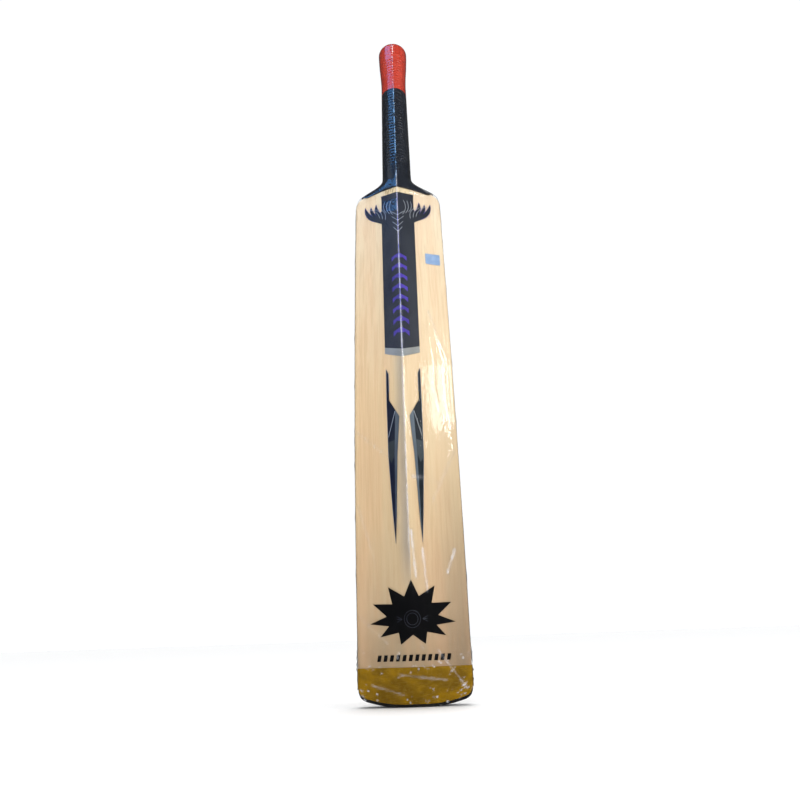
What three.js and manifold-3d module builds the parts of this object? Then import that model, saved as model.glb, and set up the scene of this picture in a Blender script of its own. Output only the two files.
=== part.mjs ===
// A full-size, short-handle cricket bat in its clear film sleeve, stood upright on its toe.
// Millimetres. +Z runs from the toe to the end of the handle, the spine side faces -Y and the
// hitting face +Y. The origin is the centre of the small flat under the toe guard.
import * as THREE from "three";
import { mergeVertices } from "three/addons/utils/BufferGeometryUtils.js";
import Module from "manifold-3d";

const wasm = await Module();
wasm.setup();
const { clamp, lerp, smoothstep } = THREE.MathUtils;

// Fits and skins.
const GAP = 0.3; // clearance between pieces that touch
const STICKER = 0.3; // thickness of a sticker
const FILM = 0.3; // thickness of the film sleeve
const GRIP_WALL = 1.5; // thickness of the rubber grips
const BINDING = 0.9; // thickness of the twine binding

// Blade.
const BLADE_LENGTH = 563; // from the toe to the height of the shoulders
const TOE_WIDTH = 108;
const SHOULDER_WIDTH = 104;
const BOW = 15; // how far the middle of the blade stands behind the line from toe to shoulder
const TOE_DEPTH = 22; // face to back at the toe
const SWELL_DEPTH = 56; // face to spine at the thickest place
const SHOULDER_DEPTH = 34; // face to spine at the shoulders
const TOE_EDGE = 18; // thickness of the side edges at the toe
const SWELL_EDGE = 26;
const SHOULDER_EDGE = 14;
const SWELL_HEIGHT = 215; // height of the thickest place
const TOE_SWEEP = 1.7; // larger keeps the swell's depth for longer towards the toe
const SHOULDER_SWEEP = 1.5; // and towards the shoulders
const SPINE_START = 70; // the spine rises out of a plain toe from here
const SPINE_SHARP = 150; // and is a sharp crease from here up
const SCOOP = 1.4; // 1 is a flat back on each side of the spine, more is hollower
const FACE_CROWN = 2; // how far the hitting face is domed across its width
const EDGE_RADIUS = 3; // rounding of the four long edges

// Toe.
const TOE_FLAT = 10; // half width of the flat that the bat stands on
const TOE_ARCH = 0.0043; // rise of the toe beyond the flat, per square millimetre
const TOE_CORNER = 7; // rounding of the toe's corners
const GUARD = 2.5; // thickness of the toe guard
const BAND_TOP = 35; // height of the toe band's upper edge

// Shoulders and neck.
const CORNER_DROP = 5; // the shoulders start to round this far below the blade's length
const NECK_RISE = 56; // from there to where the neck is as narrow as the handle
const SHOULDER_ROUND = 3.4; // larger keeps the shoulder square for longer
const NECK_HOLLOW = 7; // larger draws the neck in sooner
const WOOD_ABOVE = 34; // the willow ends this far above the blade's length
const HEM_ABOVE = 9.5; // the skirt's hem lies this far above the blade's length at the corners
const HEM_RISE = 8.5; // and this much higher at the spine

// Handle, splice and grips.
const HANDLE_LENGTH = 290; // from the shoulders to the end of the knob, along the handle
const SPLICE = 165; // how deep the handle's wedge goes into the blade
const GRIP_BASE_RADIUS = 18.1; // outside of the grip where it meets the skirt
const GRIP_WAIST_RADIUS = 16.4; // outside of the grip below the knob
const KNOB_RADIUS = 19.4;
const KNOB_FLARE = 75; // length over which the handle widens to the knob
const KNOB_ROUND = 7; // rounding of the knob's end
const OVAL = 0.96; // the handle's depth over its width
const UPPER_GRIP = 93; // length of the upper grip
const FILM_MOUTH = 9; // radius of the film's opening over the knob
const RUBBER = 2; // thickness of a rubber insert
const MIDDLE_LAYER = 8; // thickness of the middle layer of cane
const MIDDLE_STRIP = 9.6; // width of the middle strip of each layer

// Stickers.
const LABEL_WIDTH = 39;
const LABEL_LENGTH = 235;
const LABEL_BELOW_HEM = 9; // wood shows between the skirt's hem and the label
const LABEL_FOOT_DROP = 9; // the foot's point lies this far below its sides
const WING_SPAN = 80; // across the swept tips beside the label's head
const WING_TIP_DROP = 11; // the tips lie this far below the label's top
const WING_DEPTH = 45; // the wings join the label down to this far below its top
const FLASH_OFFSET = 18; // outer side of each flash from the spine
const FLASH_STEM = 2.4; // width of the narrow stretch at the flash's top
const FLASH_WIDTH = 13; // width of the flash at its shoulder
const FLASH_BELOW_LABEL = 10;
const FLASH_ABOVE_EMBLEM = 34;
const EMBLEM_WIDTH = 82;
const EMBLEM_HEIGHT = 58;
const EMBLEM_ABOVE_BAND = 19;
const CAPTION_WIDTH = 72;
const CAPTION_HEIGHT = 7;
const CAPTION_ABOVE_BAND = 5;
const TAG_WIDTH = 17;
const TAG_HEIGHT = 15;
const TAG_INSET = 5; // the price sticker's side from the blade's edge
const TAG_BELOW_SHOULDER = 89;

// Fineness of the lofted and turned surfaces.
const BODY_STEPS = 18;
const NECK_STEPS = 8;
const BACK_STEPS = 6;
const FACE_STEPS = 3;
const CORNER_STEPS = 2;
const ROUND_STEPS = 24;
const ARC_STEPS = 4;

// Values that follow from the ones above.
const CORNER_HEIGHT = BLADE_LENGTH - CORNER_DROP;
const NECK_TOP = CORNER_HEIGHT + NECK_RISE;
const WOOD_TOP = BLADE_LENGTH + WOOD_ABOVE;
const STICKER_TOP = GAP + STICKER; // a sticker's outer side above the wood
const SKIRT_TOP = GAP + GRIP_WALL; // the skirt's outer side above the wood
const NECK_RADIUS = GRIP_BASE_RADIUS - SKIRT_TOP;
const BINDING_INSET = GRIP_WALL + GAP; // below the grip's outer side
const CANE_INSET = BINDING_INSET + BINDING + GAP;
const CANE_RADIUS = GRIP_BASE_RADIUS - CANE_INSET;
const BOW_RADIUS = (BLADE_LENGTH ** 2 / 4 + BOW ** 2) / (2 * BOW);
const LEAN = Math.asin(BLADE_LENGTH / 2 / BOW_RADIUS); // the handle's lean towards the face
const AXIS_BEHIND_FACE = NECK_RADIUS * OVAL; // the handle's axis behind the hitting face
const SHAFT_START = (NECK_TOP - BLADE_LENGTH) / 2; // where the grip's round part starts, in the neck
const WOOD_END = WOOD_ABOVE / Math.cos(LEAN); // the end of the willow, measured up the handle
const END_TILT = NECK_RADIUS * Math.tan(LEAN); // that end is level, so it reaches this far up and down
const FAR = 400; // larger than any cross-section

// ---- Solids ----

// A closed geometry as a solid for joining and cutting.
function solidOf(geometry) {
  const bare = new THREE.BufferGeometry();
  bare.setAttribute("position", geometry.getAttribute("position"));
  bare.setIndex(geometry.index);
  const merged = mergeVertices(bare, 1e-4);
  return new wasm.Manifold(
    new wasm.Mesh({
      numProp: 3,
      vertProperties: merged.attributes.position.array,
      triVerts: new Uint32Array(merged.index.array),
    }),
  );
}

// A solid as a geometry with flat faces.
function geometryOf(solid) {
  const mesh = solid.getMesh();
  const geometry = new THREE.BufferGeometry();
  geometry.setAttribute("position", new THREE.BufferAttribute(mesh.vertProperties, 3));
  geometry.setIndex(new THREE.BufferAttribute(mesh.triVerts, 1));
  const faceted = geometry.toNonIndexed();
  faceted.computeVertexNormals();
  return faceted;
}

// A closed skin through outlines of equal length, lowest first, each anticlockwise from above.
function loft(outlines) {
  const count = outlines[0].length;
  const positions = outlines.flat().flatMap((point) => point.toArray());
  const triangles = [];
  for (let layer = 0; layer + 1 < outlines.length; layer++) {
    for (let i = 0; i < count; i++) {
      const a = layer * count + i;
      const b = layer * count + ((i + 1) % count);
      triangles.push(a, b, b + count, a, b + count, a + count);
    }
  }
  const flat = (outline) => outline.map((point) => new THREE.Vector2(point.x, point.y));
  const last = (outlines.length - 1) * count;
  for (const [a, b, c] of THREE.ShapeUtils.triangulateShape(flat(outlines[0]), [])) {
    triangles.push(a, c, b);
  }
  for (const [a, b, c] of THREE.ShapeUtils.triangulateShape(flat(outlines.at(-1)), [])) {
    triangles.push(last + a, last + b, last + c);
  }
  const geometry = new THREE.BufferGeometry();
  geometry.setAttribute("position", new THREE.Float32BufferAttribute(positions, 3));
  geometry.setIndex(triangles);
  return solidOf(geometry);
}

// An outline of [x, z] points carried through the bat from back to face.
function prism(points) {
  const shape = new THREE.Shape(points.map(([x, z]) => new THREE.Vector2(x, z)));
  const geometry = new THREE.ExtrudeGeometry(shape, { depth: FAR, bevelEnabled: false });
  geometry.rotateX(Math.PI / 2).translate(0, FAR / 2, 0);
  return solidOf(geometry);
}

// A block between two corners.
function block(low, high) {
  const size = high.map((value, i) => value - low[i]);
  const geometry = new THREE.BoxGeometry(...size);
  geometry.translate(...low.map((value, i) => value + size[i] / 2));
  return solidOf(geometry);
}

// ---- The blade's shape ----

// The line of the blade and handle seen from the side: an arc, then its tangent.
function bowLine(z) {
  if (z > BLADE_LENGTH) return (z - BLADE_LENGTH) * Math.tan(LEAN);
  const fromMiddle = z - BLADE_LENGTH / 2;
  return BOW_RADIUS - BOW - Math.sqrt(BOW_RADIUS ** 2 - fromMiddle ** 2);
}

const faceLine = (z) => bowLine(z) + TOE_DEPTH / 2;
const axisLine = (z) => faceLine(z) - AXIS_BEHIND_FACE;

// How far z has gone from the swell towards the toe or towards the shoulder, from 0 to 1.
function fromSwell(z) {
  if (z < SWELL_HEIGHT) return (1 - Math.max(z, 0) / SWELL_HEIGHT) ** TOE_SWEEP;
  return Math.min((z - SWELL_HEIGHT) / (BLADE_LENGTH - SWELL_HEIGHT), 1) ** SHOULDER_SWEEP;
}

const spineDepth = (z) =>
  lerp(SWELL_DEPTH, z < SWELL_HEIGHT ? TOE_DEPTH : SHOULDER_DEPTH, fromSwell(z));
const edgeDepth = (z) =>
  lerp(SWELL_EDGE, z < SWELL_HEIGHT ? TOE_EDGE : SHOULDER_EDGE, fromSwell(z));
const neckShare = (z) => clamp((z - CORNER_HEIGHT) / NECK_RISE, 0, 1);

function halfWidth(z) {
  const side = lerp(TOE_WIDTH, SHOULDER_WIDTH, Math.min(z / CORNER_HEIGHT, 1)) / 2;
  const drawnIn = (1 - neckShare(z) ** SHOULDER_ROUND) ** NECK_HOLLOW;
  return lerp(NECK_RADIUS, side, drawnIn);
}

// The back's rise from the side edge, 0, to the spine, 1, where x is a share of the half width.
function backRise(share, z) {
  const toSpine = 1 - share;
  const dome = (1 - Math.cos(Math.PI * toSpine)) / 2;
  return lerp(dome, toSpine ** SCOOP, smoothstep(z, SPINE_START, SPINE_SHARP));
}

// One side of the outline at height z, from the spine round to the middle of the face.
function halfOutline(z, grow) {
  const half = halfWidth(z) + grow;
  const radius = EDGE_RADIUS + grow;
  const inner = half - radius;
  const face = faceLine(z) + grow;
  const faceAt = (x) => face - FACE_CROWN * (x / half) ** 2;
  const edge = faceLine(z) - FACE_CROWN - edgeDepth(z) - grow;
  const spine = faceLine(z) - spineDepth(z) - grow;
  const backAt = (x) => lerp(edge, spine, backRise(x / half, z));
  const points = [];
  for (let i = 0; i <= BACK_STEPS; i++) {
    const x = (inner * i) / BACK_STEPS;
    points.push([x, backAt(x)]);
  }
  for (const [centre, start] of [[backAt(inner) + radius, -1], [faceAt(inner) - radius, 0]]) {
    for (let i = start < 0 ? 1 : 0; i <= CORNER_STEPS; i++) {
      const turn = (Math.PI / 2) * (start + i / CORNER_STEPS);
      points.push([inner + radius * Math.cos(turn), centre + radius * Math.sin(turn)]);
    }
  }
  for (let i = FACE_STEPS - 1; i >= 0; i--) {
    const x = (inner * i) / FACE_STEPS;
    points.push([x, faceAt(x)]);
  }
  return points.map(([x, y]) => towardsOval(x, y, z, half, grow));
}

// Above the corners the outline turns into the handle's oval.
function towardsOval(x, y, z, half, grow) {
  const share = smoothstep(neckShare(z), 0.1, 1);
  const depth = NECK_RADIUS * OVAL + grow;
  const turn = Math.atan2((y - axisLine(z)) / depth, x / half);
  return [lerp(x, half * Math.cos(turn), share),
    lerp(y, axisLine(z) + depth * Math.sin(turn), share)];
}

function bladeOutline(z, grow) {
  const side = halfOutline(z, grow);
  const other = side.slice(1, -1).reverse().map(([x, y]) => [-x, y]);
  return [...side, ...other].map(([x, y]) => new THREE.Vector3(x, y, z));
}

// The whole blade and neck with nothing cut, grown outwards by grow, a number or a law of z.
function bladeForm(grow, top = NECK_TOP) {
  const heights = [-GUARD];
  for (let i = 0; i < BODY_STEPS; i++) heights.push((CORNER_HEIGHT * i) / BODY_STEPS);
  for (let i = 0; i <= NECK_STEPS; i++) {
    heights.push(CORNER_HEIGHT + (NECK_RISE * i) / NECK_STEPS);
  }
  const kept = [...heights.filter((z) => z < top - 0.5), top];
  const growAt = typeof grow === "function" ? grow : () => grow;
  return loft(kept.map((z) => bladeOutline(z, growAt(z))));
}

// ---- The toe's shape ----

// Height of the toe's underside at x: a flat, a shallow arch and rounded corners.
function toeUnder(x) {
  const beyond = Math.max(Math.abs(x) - TOE_FLAT, 0);
  const intoCorner = Math.max(Math.abs(x) - (TOE_WIDTH / 2 - TOE_CORNER), 0);
  const drop = Math.sqrt(Math.max(TOE_CORNER ** 2 - intoCorner ** 2, 0));
  return TOE_ARCH * beyond ** 2 + TOE_CORNER - drop;
}

// Everything above the toe's underside, raised by lift.
function aboveToe(lift) {
  const half = TOE_WIDTH / 2;
  const inner = half - TOE_CORNER;
  const xs = [0, TOE_FLAT];
  for (let i = 1; i <= 5; i++) xs.push(lerp(TOE_FLAT, inner, i / 5));
  for (let i = 1; i <= ARC_STEPS; i++) {
    xs.push(inner + TOE_CORNER * Math.sin((Math.PI / 2) * (i / ARC_STEPS)));
  }
  const right = xs.map((x) => [x, toeUnder(x) + lift]);
  const left = right.slice(1).reverse().map(([x, z]) => [-x, z]);
  const lowest = right.at(-1)[1];
  return prism([[-FAR, lowest], ...left, ...right, [FAR, lowest], [FAR, 3 * FAR], [-FAR, 3 * FAR]]);
}

// ---- The handle's frame: its axis is local Z, and its origin is at the shoulders ----

const handleFrame = new THREE.Matrix4()
  .makeTranslation(0, axisLine(BLADE_LENGTH), BLADE_LENGTH)
  .multiply(new THREE.Matrix4().makeRotationX(-LEAN));

const inHandleFrame = (solid) => solid.transform(handleFrame.toArray());

// Outside radius of the grips at height h up the handle, below the knob's rounding.
function gripRadius(h) {
  const flareStart = HANDLE_LENGTH - KNOB_FLARE;
  const taper = lerp(GRIP_BASE_RADIUS, GRIP_WAIST_RADIUS, Math.min(h / flareStart, 1));
  const flare = smoothstep(h, flareStart, HANDLE_LENGTH - KNOB_ROUND);
  return lerp(taper, KNOB_RADIUS, flare);
}

// Points up the handle at inset below the grips' outside, and round the knob's end if open is true.
function handleSide(inset, from, to = HANDLE_LENGTH) {
  const straightEnd = Math.min(to, HANDLE_LENGTH - KNOB_ROUND);
  const flareStart = HANDLE_LENGTH - KNOB_FLARE;
  const heights = [from, straightEnd];
  for (const h of [lerp(from, flareStart, 0.5), flareStart]) heights.push(h);
  for (let i = 1; i < 4; i++) heights.push(lerp(flareStart, HANDLE_LENGTH - KNOB_ROUND, i / 4));
  const inside = heights.filter((h) => h >= from && h <= straightEnd).sort((a, b) => a - b);
  const points = [...new Set(inside)].map((h) => [gripRadius(h) - inset, h]);
  if (to < HANDLE_LENGTH) return points;
  for (let i = 1; i <= ARC_STEPS; i++) {
    const turn = ((Math.PI / 2) * i) / ARC_STEPS;
    points.push([KNOB_RADIUS - KNOB_ROUND + (KNOB_ROUND - inset) * Math.cos(turn),
      HANDLE_LENGTH - KNOB_ROUND + (KNOB_ROUND - inset) * Math.sin(turn)]);
  }
  return points;
}

// A turned solid from [radius, height] points, made oval and set in the handle's frame.
function turned(points) {
  const profile = points.map(([radius, h]) => new THREE.Vector2(radius, h));
  const geometry = new THREE.LatheGeometry(profile, ROUND_STEPS);
  geometry.rotateX(Math.PI / 2).scale(1, OVAL, 1);
  return inHandleFrame(solidOf(geometry));
}

// A full rod up the handle, and a sleeve between two insets.
function rod(inset, from, to) {
  const side = handleSide(inset, from, to);
  return turned([[0, from], ...side, [0, side.at(-1)[1]]]);
}

function sleeve(outer, inner, from, to) {
  const outside = handleSide(outer, from, to);
  return turned([...outside, ...handleSide(inner, from, to).reverse(), outside[0]]);
}

// ---- Splice ----

// The V of the splice, grown on every side, up to the top of the willow.
function splicePrism(grow) {
  const half = CANE_RADIUS + grow;
  const tip = -SPLICE - (grow * SPLICE) / CANE_RADIUS;
  return inHandleFrame(prism([[0, tip], [half, 0], [half, FAR], [-half, FAR], [-half, 0]]));
}

// The handle's cane as one solid: the wedge, flush with the blade, and the round shaft.
function caneForm() {
  const wedge = splicePrism(0).intersect(bladeForm(0, WOOD_TOP));
  return wedge.add(rod(CANE_INSET, WOOD_END - END_TILT));
}

// ---- Pieces ----

function makeBlade() {
  return bladeForm(0, WOOD_TOP)
    .subtract(splicePrism(GAP))
    .intersect(aboveToe(GUARD + GAP));
}

function makeToeGuard() {
  return bladeForm(0, BAND_TOP).intersect(aboveToe(0)).subtract(aboveToe(GUARD));
}

// A skin over the blade between two heights above the wood.
const skin = (low, high) => bladeForm(high).subtract(bladeForm(low));

function makeToeBand() {
  const reach = block([-FAR, -FAR, -FAR], [FAR, FAR, BAND_TOP]);
  return skin(GAP, STICKER_TOP).intersect(aboveToe(GUARD + GAP)).intersect(reach);
}

// The space behind the middle of the blade's side edges, from the toe to the neck.
function backSpace() {
  const heights = [];
  for (let i = 0; i <= BODY_STEPS; i++) heights.push((NECK_TOP * i) / BODY_STEPS);
  return loft(heights.map((z) => {
    const middle = faceLine(z) - FACE_CROWN - edgeDepth(z) / 2;
    const corners = [[-FAR, -FAR], [FAR, -FAR], [FAR, middle], [-FAR, middle]];
    return corners.map(([x, y]) => new THREE.Vector3(x, y, z));
  }));
}

// A sticker on the back of the blade, cut to an outline of [x, z] points.
function makeSticker(outline) {
  return skin(GAP, STICKER_TOP).intersect(prism(outline)).intersect(backSpace());
}

// Height of the skirt's hem at x.
function hemHeight(x) {
  return BLADE_LENGTH + HEM_ABOVE + HEM_RISE * (1 - (x / (SHOULDER_WIDTH / 2)) ** 2);
}

function makeLowerGrip() {
  const hem = [];
  for (let i = -6; i <= 6; i++) {
    const x = (SHOULDER_WIDTH * i) / 10;
    hem.push([x, hemHeight(x)]);
  }
  const [farSide, farTop] = [FAR, 2 * NECK_TOP];
  const above = prism([...hem, [farSide, NECK_TOP], [farSide, farTop], [-farSide, farTop],
    [-farSide, NECK_TOP]]);
  return bladeForm(SKIRT_TOP)
    .intersect(above)
    .add(rod(0, SHAFT_START, HANDLE_LENGTH - UPPER_GRIP))
    .subtract(bladeForm(GAP, WOOD_TOP + GAP))
    .subtract(rod(GRIP_WALL, SHAFT_START / 2, HANDLE_LENGTH - UPPER_GRIP + GAP));
}

const makeUpperGrip = () => sleeve(0, GRIP_WALL, HANDLE_LENGTH - UPPER_GRIP + GAP);

function makeBinding() {
  const [outer, inner] = [BINDING_INSET, BINDING_INSET + BINDING];
  return sleeve(outer, inner, WOOD_END + END_TILT + GAP, HANDLE_LENGTH - KNOB_ROUND);
}

// The film lies on the stickers, rises over the skirt and follows the grips.
function makeFilm() {
  const over = (extra) => (z) => {
    const onSkirt = smoothstep(z, CORNER_HEIGHT - CORNER_DROP, CORNER_HEIGHT + GAP);
    return lerp(STICKER_TOP, SKIRT_TOP, onSkirt) + extra;
  };
  const formAt = (lift) =>
    bladeForm(over(lift), NECK_TOP + lift).add(rod(-lift, SHAFT_START - lift));
  const [outside, inside] = [formAt(GAP + FILM), formAt(GAP)];
  const mouth = turned([[0, SHAFT_START], [FILM_MOUTH, SHAFT_START], [FILM_MOUTH, FAR], [0, FAR]]);
  return outside.subtract(inside).subtract(mouth).intersect(aboveToe(GAP));
}

// The cane is sawn lengthwise into three layers of three strips, with rubber between the layers.
const LAYERS = {
  back: [-FAR, -MIDDLE_LAYER / 2 - RUBBER - 2 * GAP],
  middle: [-MIDDLE_LAYER / 2, MIDDLE_LAYER / 2],
  front: [MIDDLE_LAYER / 2 + RUBBER + 2 * GAP, FAR],
};
const STRIPS = {
  left: [-FAR, -MIDDLE_STRIP / 2 - GAP],
  centre: [-MIDDLE_STRIP / 2, MIDDLE_STRIP / 2],
  right: [MIDDLE_STRIP / 2 + GAP, FAR],
};
const RUBBER_LAYERS = {
  back: [-MIDDLE_LAYER / 2 - GAP - RUBBER, -MIDDLE_LAYER / 2 - GAP],
  front: [MIDDLE_LAYER / 2 + GAP, MIDDLE_LAYER / 2 + GAP + RUBBER],
};

function sawn(cane, [left, right], [back, front]) {
  return cane.intersect(inHandleFrame(block([left, back, -FAR], [right, front, FAR])));
}

// ---- Sticker outlines ----

const mirrored = (points) => points.map(([x, z]) => [-x, z]).reverse();

// A black strip with two swept wings at its head and a pointed foot.
function labelOutline() {
  const half = LABEL_WIDTH / 2;
  const top = hemHeight(0) - LABEL_BELOW_HEM;
  const tip = WING_SPAN / 2;
  const wingAt = (out, down) => [lerp(half, tip, out), top - down];
  const right = [
    [half, top - LABEL_LENGTH + LABEL_FOOT_DROP],
    wingAt(0, WING_DEPTH),
    wingAt(0.3, 0.84 * WING_DEPTH),
    wingAt(0.75, 0.6 * WING_DEPTH),
    wingAt(1, WING_TIP_DROP),
    wingAt(0.7, 0.5 * WING_DEPTH),
    wingAt(0.3, 0.56 * WING_DEPTH),
    wingAt(0.25, 0.3 * WING_DEPTH),
    [half, top - 0.2 * WING_DEPTH],
    [half, top],
  ];
  return [[0, top - LABEL_LENGTH], ...right, ...mirrored(right)];
}

// A narrow stem that widens to a shoulder beside the spine and runs down to a point.
function flashOutline(top, tip) {
  const length = top - tip;
  const outer = FLASH_OFFSET;
  return [
    [outer, top],
    [outer - FLASH_STEM, top - 0.05 * length],
    [outer - FLASH_STEM, top - 0.2 * length],
    [outer - FLASH_WIDTH, top - 0.31 * length],
    [outer - 0.7 * FLASH_WIDTH, top - 0.53 * length],
    [outer - 0.4 * FLASH_WIDTH, tip],
    [outer, top - 0.5 * length],
  ];
}

// A plain burst of long and short rays, wider than it is high.
function emblemOutline(base) {
  const rays = 11;
  const centre = base + 0.4 * EMBLEM_HEIGHT;
  const points = [];
  for (let i = 0; i < 2 * rays; i++) {
    const turn = -Math.PI / 2 + (Math.PI * i) / rays;
    const reach = i % 2 ? 1 : 0.5;
    const up = Math.sin(turn) > 0 ? 0.6 : 0.4;
    points.push([(EMBLEM_WIDTH / 2) * reach * Math.cos(turn),
      centre + up * EMBLEM_HEIGHT * reach * Math.sin(turn)]);
  }
  return points;
}

const rectangle = (left, bottom, width, height) => [
  [left, bottom],
  [left + width, bottom],
  [left + width, bottom + height],
  [left, bottom + height],
];

// ---- Assembly ----

const FINISHES = {
  willow: { color: 0xe3cda4, roughness: 0.55 },
  cane: { color: 0xd8b36a, roughness: 0.6 },
  handleRubber: { color: 0x1c1c1e, roughness: 0.8 },
  twine: { color: 0xc9a56a, roughness: 0.85 },
  blackGrip: { color: 0x14181f, roughness: 0.5 },
  redGrip: { color: 0xc33a2a, roughness: 0.45 },
  guardRubber: { color: 0x16130f, roughness: 0.7 },
  mustard: { color: 0x9a6f14, roughness: 0.4 },
  blackSticker: { color: 0x101216, roughness: 0.35 },
  paleBlue: { color: 0x8aa4d2, roughness: 0.5 },
  clearFilm: { color: 0xffffff, roughness: 0.08, transparent: true, opacity: 0.15 },
};
const materials = Object.fromEntries(Object.entries(FINISHES).map(([name, look]) =>
  [name, new THREE.MeshStandardMaterial({ metalness: 0, ...look })]));

const group = new THREE.Group();

function add(name, solid, finish) {
  const mesh = new THREE.Mesh(geometryOf(solid), materials[finish]);
  mesh.name = name;
  group.add(mesh);
}

add("blade", makeBlade(), "willow");

const cane = caneForm();
for (const [layer, depths] of Object.entries(LAYERS)) {
  for (const [strip, widths] of Object.entries(STRIPS)) {
    add(`cane_${layer}_${strip}`, sawn(cane, widths, depths), "cane");
  }
}
for (const [layer, depths] of Object.entries(RUBBER_LAYERS)) {
  add(`rubber_insert_${layer}`, sawn(cane, [-FAR, FAR], depths), "handleRubber");
}
add("twine_binding", makeBinding(), "twine");
add("grip_lower", makeLowerGrip(), "blackGrip");
add("grip_upper", makeUpperGrip(), "redGrip");
add("toe_guard", makeToeGuard(), "guardRubber");
add("toe_band", makeToeBand(), "mustard");

const labelFoot = hemHeight(0) - LABEL_BELOW_HEM - LABEL_LENGTH;
const emblemBase = BAND_TOP + EMBLEM_ABOVE_BAND;
const flash = flashOutline(labelFoot - FLASH_BELOW_LABEL,
  emblemBase + EMBLEM_HEIGHT + FLASH_ABOVE_EMBLEM);
const tagTop = BLADE_LENGTH - TAG_BELOW_SHOULDER + TAG_HEIGHT / 2;
const tagLeft = halfWidth(tagTop) - TAG_INSET - TAG_WIDTH;

add("back_label", makeSticker(labelOutline()), "blackSticker");
add("flash_right", makeSticker(flash), "blackSticker");
add("flash_left", makeSticker(mirrored(flash)), "blackSticker");
add("toe_emblem", makeSticker(emblemOutline(emblemBase)), "blackSticker");
add("caption_strip", makeSticker(rectangle(-CAPTION_WIDTH / 2, BAND_TOP + CAPTION_ABOVE_BAND,
  CAPTION_WIDTH, CAPTION_HEIGHT)), "blackSticker");
add("price_sticker", makeSticker(rectangle(tagLeft, tagTop - TAG_HEIGHT, TAG_WIDTH, TAG_HEIGHT)),
  "paleBlue");
add("film_sleeve", makeFilm(), "clearFilm");

export default group;
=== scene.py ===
"""The looks of a cricket bat in its clear film sleeve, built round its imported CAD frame.

Metres. +Z runs from the toe to the end of the handle, the spined back faces -Y and the hitting
face +Y. Every piece is made in place, so its object stays at the origin.
"""

import logging
import math
from dataclasses import dataclass, replace
from enum import Enum
from typing import Callable

import bmesh
import bpy
import numpy as np
from mathutils import Matrix, Vector, noise

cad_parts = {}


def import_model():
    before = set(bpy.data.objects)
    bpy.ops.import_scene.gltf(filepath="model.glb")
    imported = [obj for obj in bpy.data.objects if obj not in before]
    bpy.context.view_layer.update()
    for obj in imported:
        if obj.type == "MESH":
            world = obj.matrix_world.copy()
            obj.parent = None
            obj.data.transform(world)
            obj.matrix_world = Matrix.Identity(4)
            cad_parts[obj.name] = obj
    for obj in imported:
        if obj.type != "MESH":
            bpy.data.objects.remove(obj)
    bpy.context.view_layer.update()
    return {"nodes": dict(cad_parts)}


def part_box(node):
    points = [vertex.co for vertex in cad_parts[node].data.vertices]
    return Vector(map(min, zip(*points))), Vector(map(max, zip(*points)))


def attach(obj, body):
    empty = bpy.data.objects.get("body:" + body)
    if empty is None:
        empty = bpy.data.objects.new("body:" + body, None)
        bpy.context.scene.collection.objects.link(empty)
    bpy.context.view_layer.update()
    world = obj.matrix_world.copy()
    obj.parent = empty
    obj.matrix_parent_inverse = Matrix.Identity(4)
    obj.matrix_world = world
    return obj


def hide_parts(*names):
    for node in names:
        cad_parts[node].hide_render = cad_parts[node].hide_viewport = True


log = logging.getLogger("bat")

Points = list[tuple[float, float]]
MM = 0.001

# Edges over these angles, in degrees, stay crisp in smooth shading.
CRISP = 35
CRISP_WOOD = 32
CRISP_PRINT = 40
CRISP_GRIP = 50
CRISP_ROUND = 60


class Side(Enum):
    """A side of the blade, seen from behind."""

    LEFT = -1
    RIGHT = 1


# ---- Nodes ----


class Value:
    """A number in a material's nodes, which Python's operators carry on in Math nodes."""

    def __init__(self, graph: "Graph", socket: bpy.types.NodeSocket) -> None:
        """Wraps socket, an output in graph."""
        self.graph = graph
        self.socket = socket

    def math(self, operation: str, *others: "Value | float", first: bool = True) -> "Value":
        """Adds a Math node.

        Args:
            operation: the node's operation.
            others: its other values.
            first: whether this value comes before the others.

        Returns:
            The node's result.
        """
        values = [self, *others] if first else [*others, self]
        return self.graph.math(operation, *values)

    def __add__(self, other: "Value | float") -> "Value":
        """Adds other."""
        return self.math("ADD", other)

    __radd__ = __add__

    def __mul__(self, other: "Value | float") -> "Value":
        """Multiplies by other."""
        return self.math("MULTIPLY", other)

    __rmul__ = __mul__

    def __sub__(self, other: "Value | float") -> "Value":
        """Takes other away."""
        return self.math("SUBTRACT", other)

    def __rsub__(self, other: float) -> "Value":
        """Takes this away from other."""
        return self.math("SUBTRACT", other, first=False)

    def __truediv__(self, other: "Value | float") -> "Value":
        """Divides by other."""
        return self.math("DIVIDE", other)

    def __pow__(self, other: float) -> "Value":
        """Raises to the power other."""
        return self.math("POWER", other)

    def between(self, low: float, high: "Value | float", to_low: float = 0,
                to_high: float = 1) -> "Value":
        """Carries low..high smoothly to to_low..to_high and holds it there beyond."""
        settings = {"interpolation_type": "SMOOTHSTEP"}
        inputs = {"Value": self, "From Min": low, "From Max": high, "To Min": to_low,
                  "To Max": to_high}
        made = self.graph.node("ShaderNodeMapRange", settings, inputs)
        return Value(self.graph, made.outputs[0])


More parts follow.
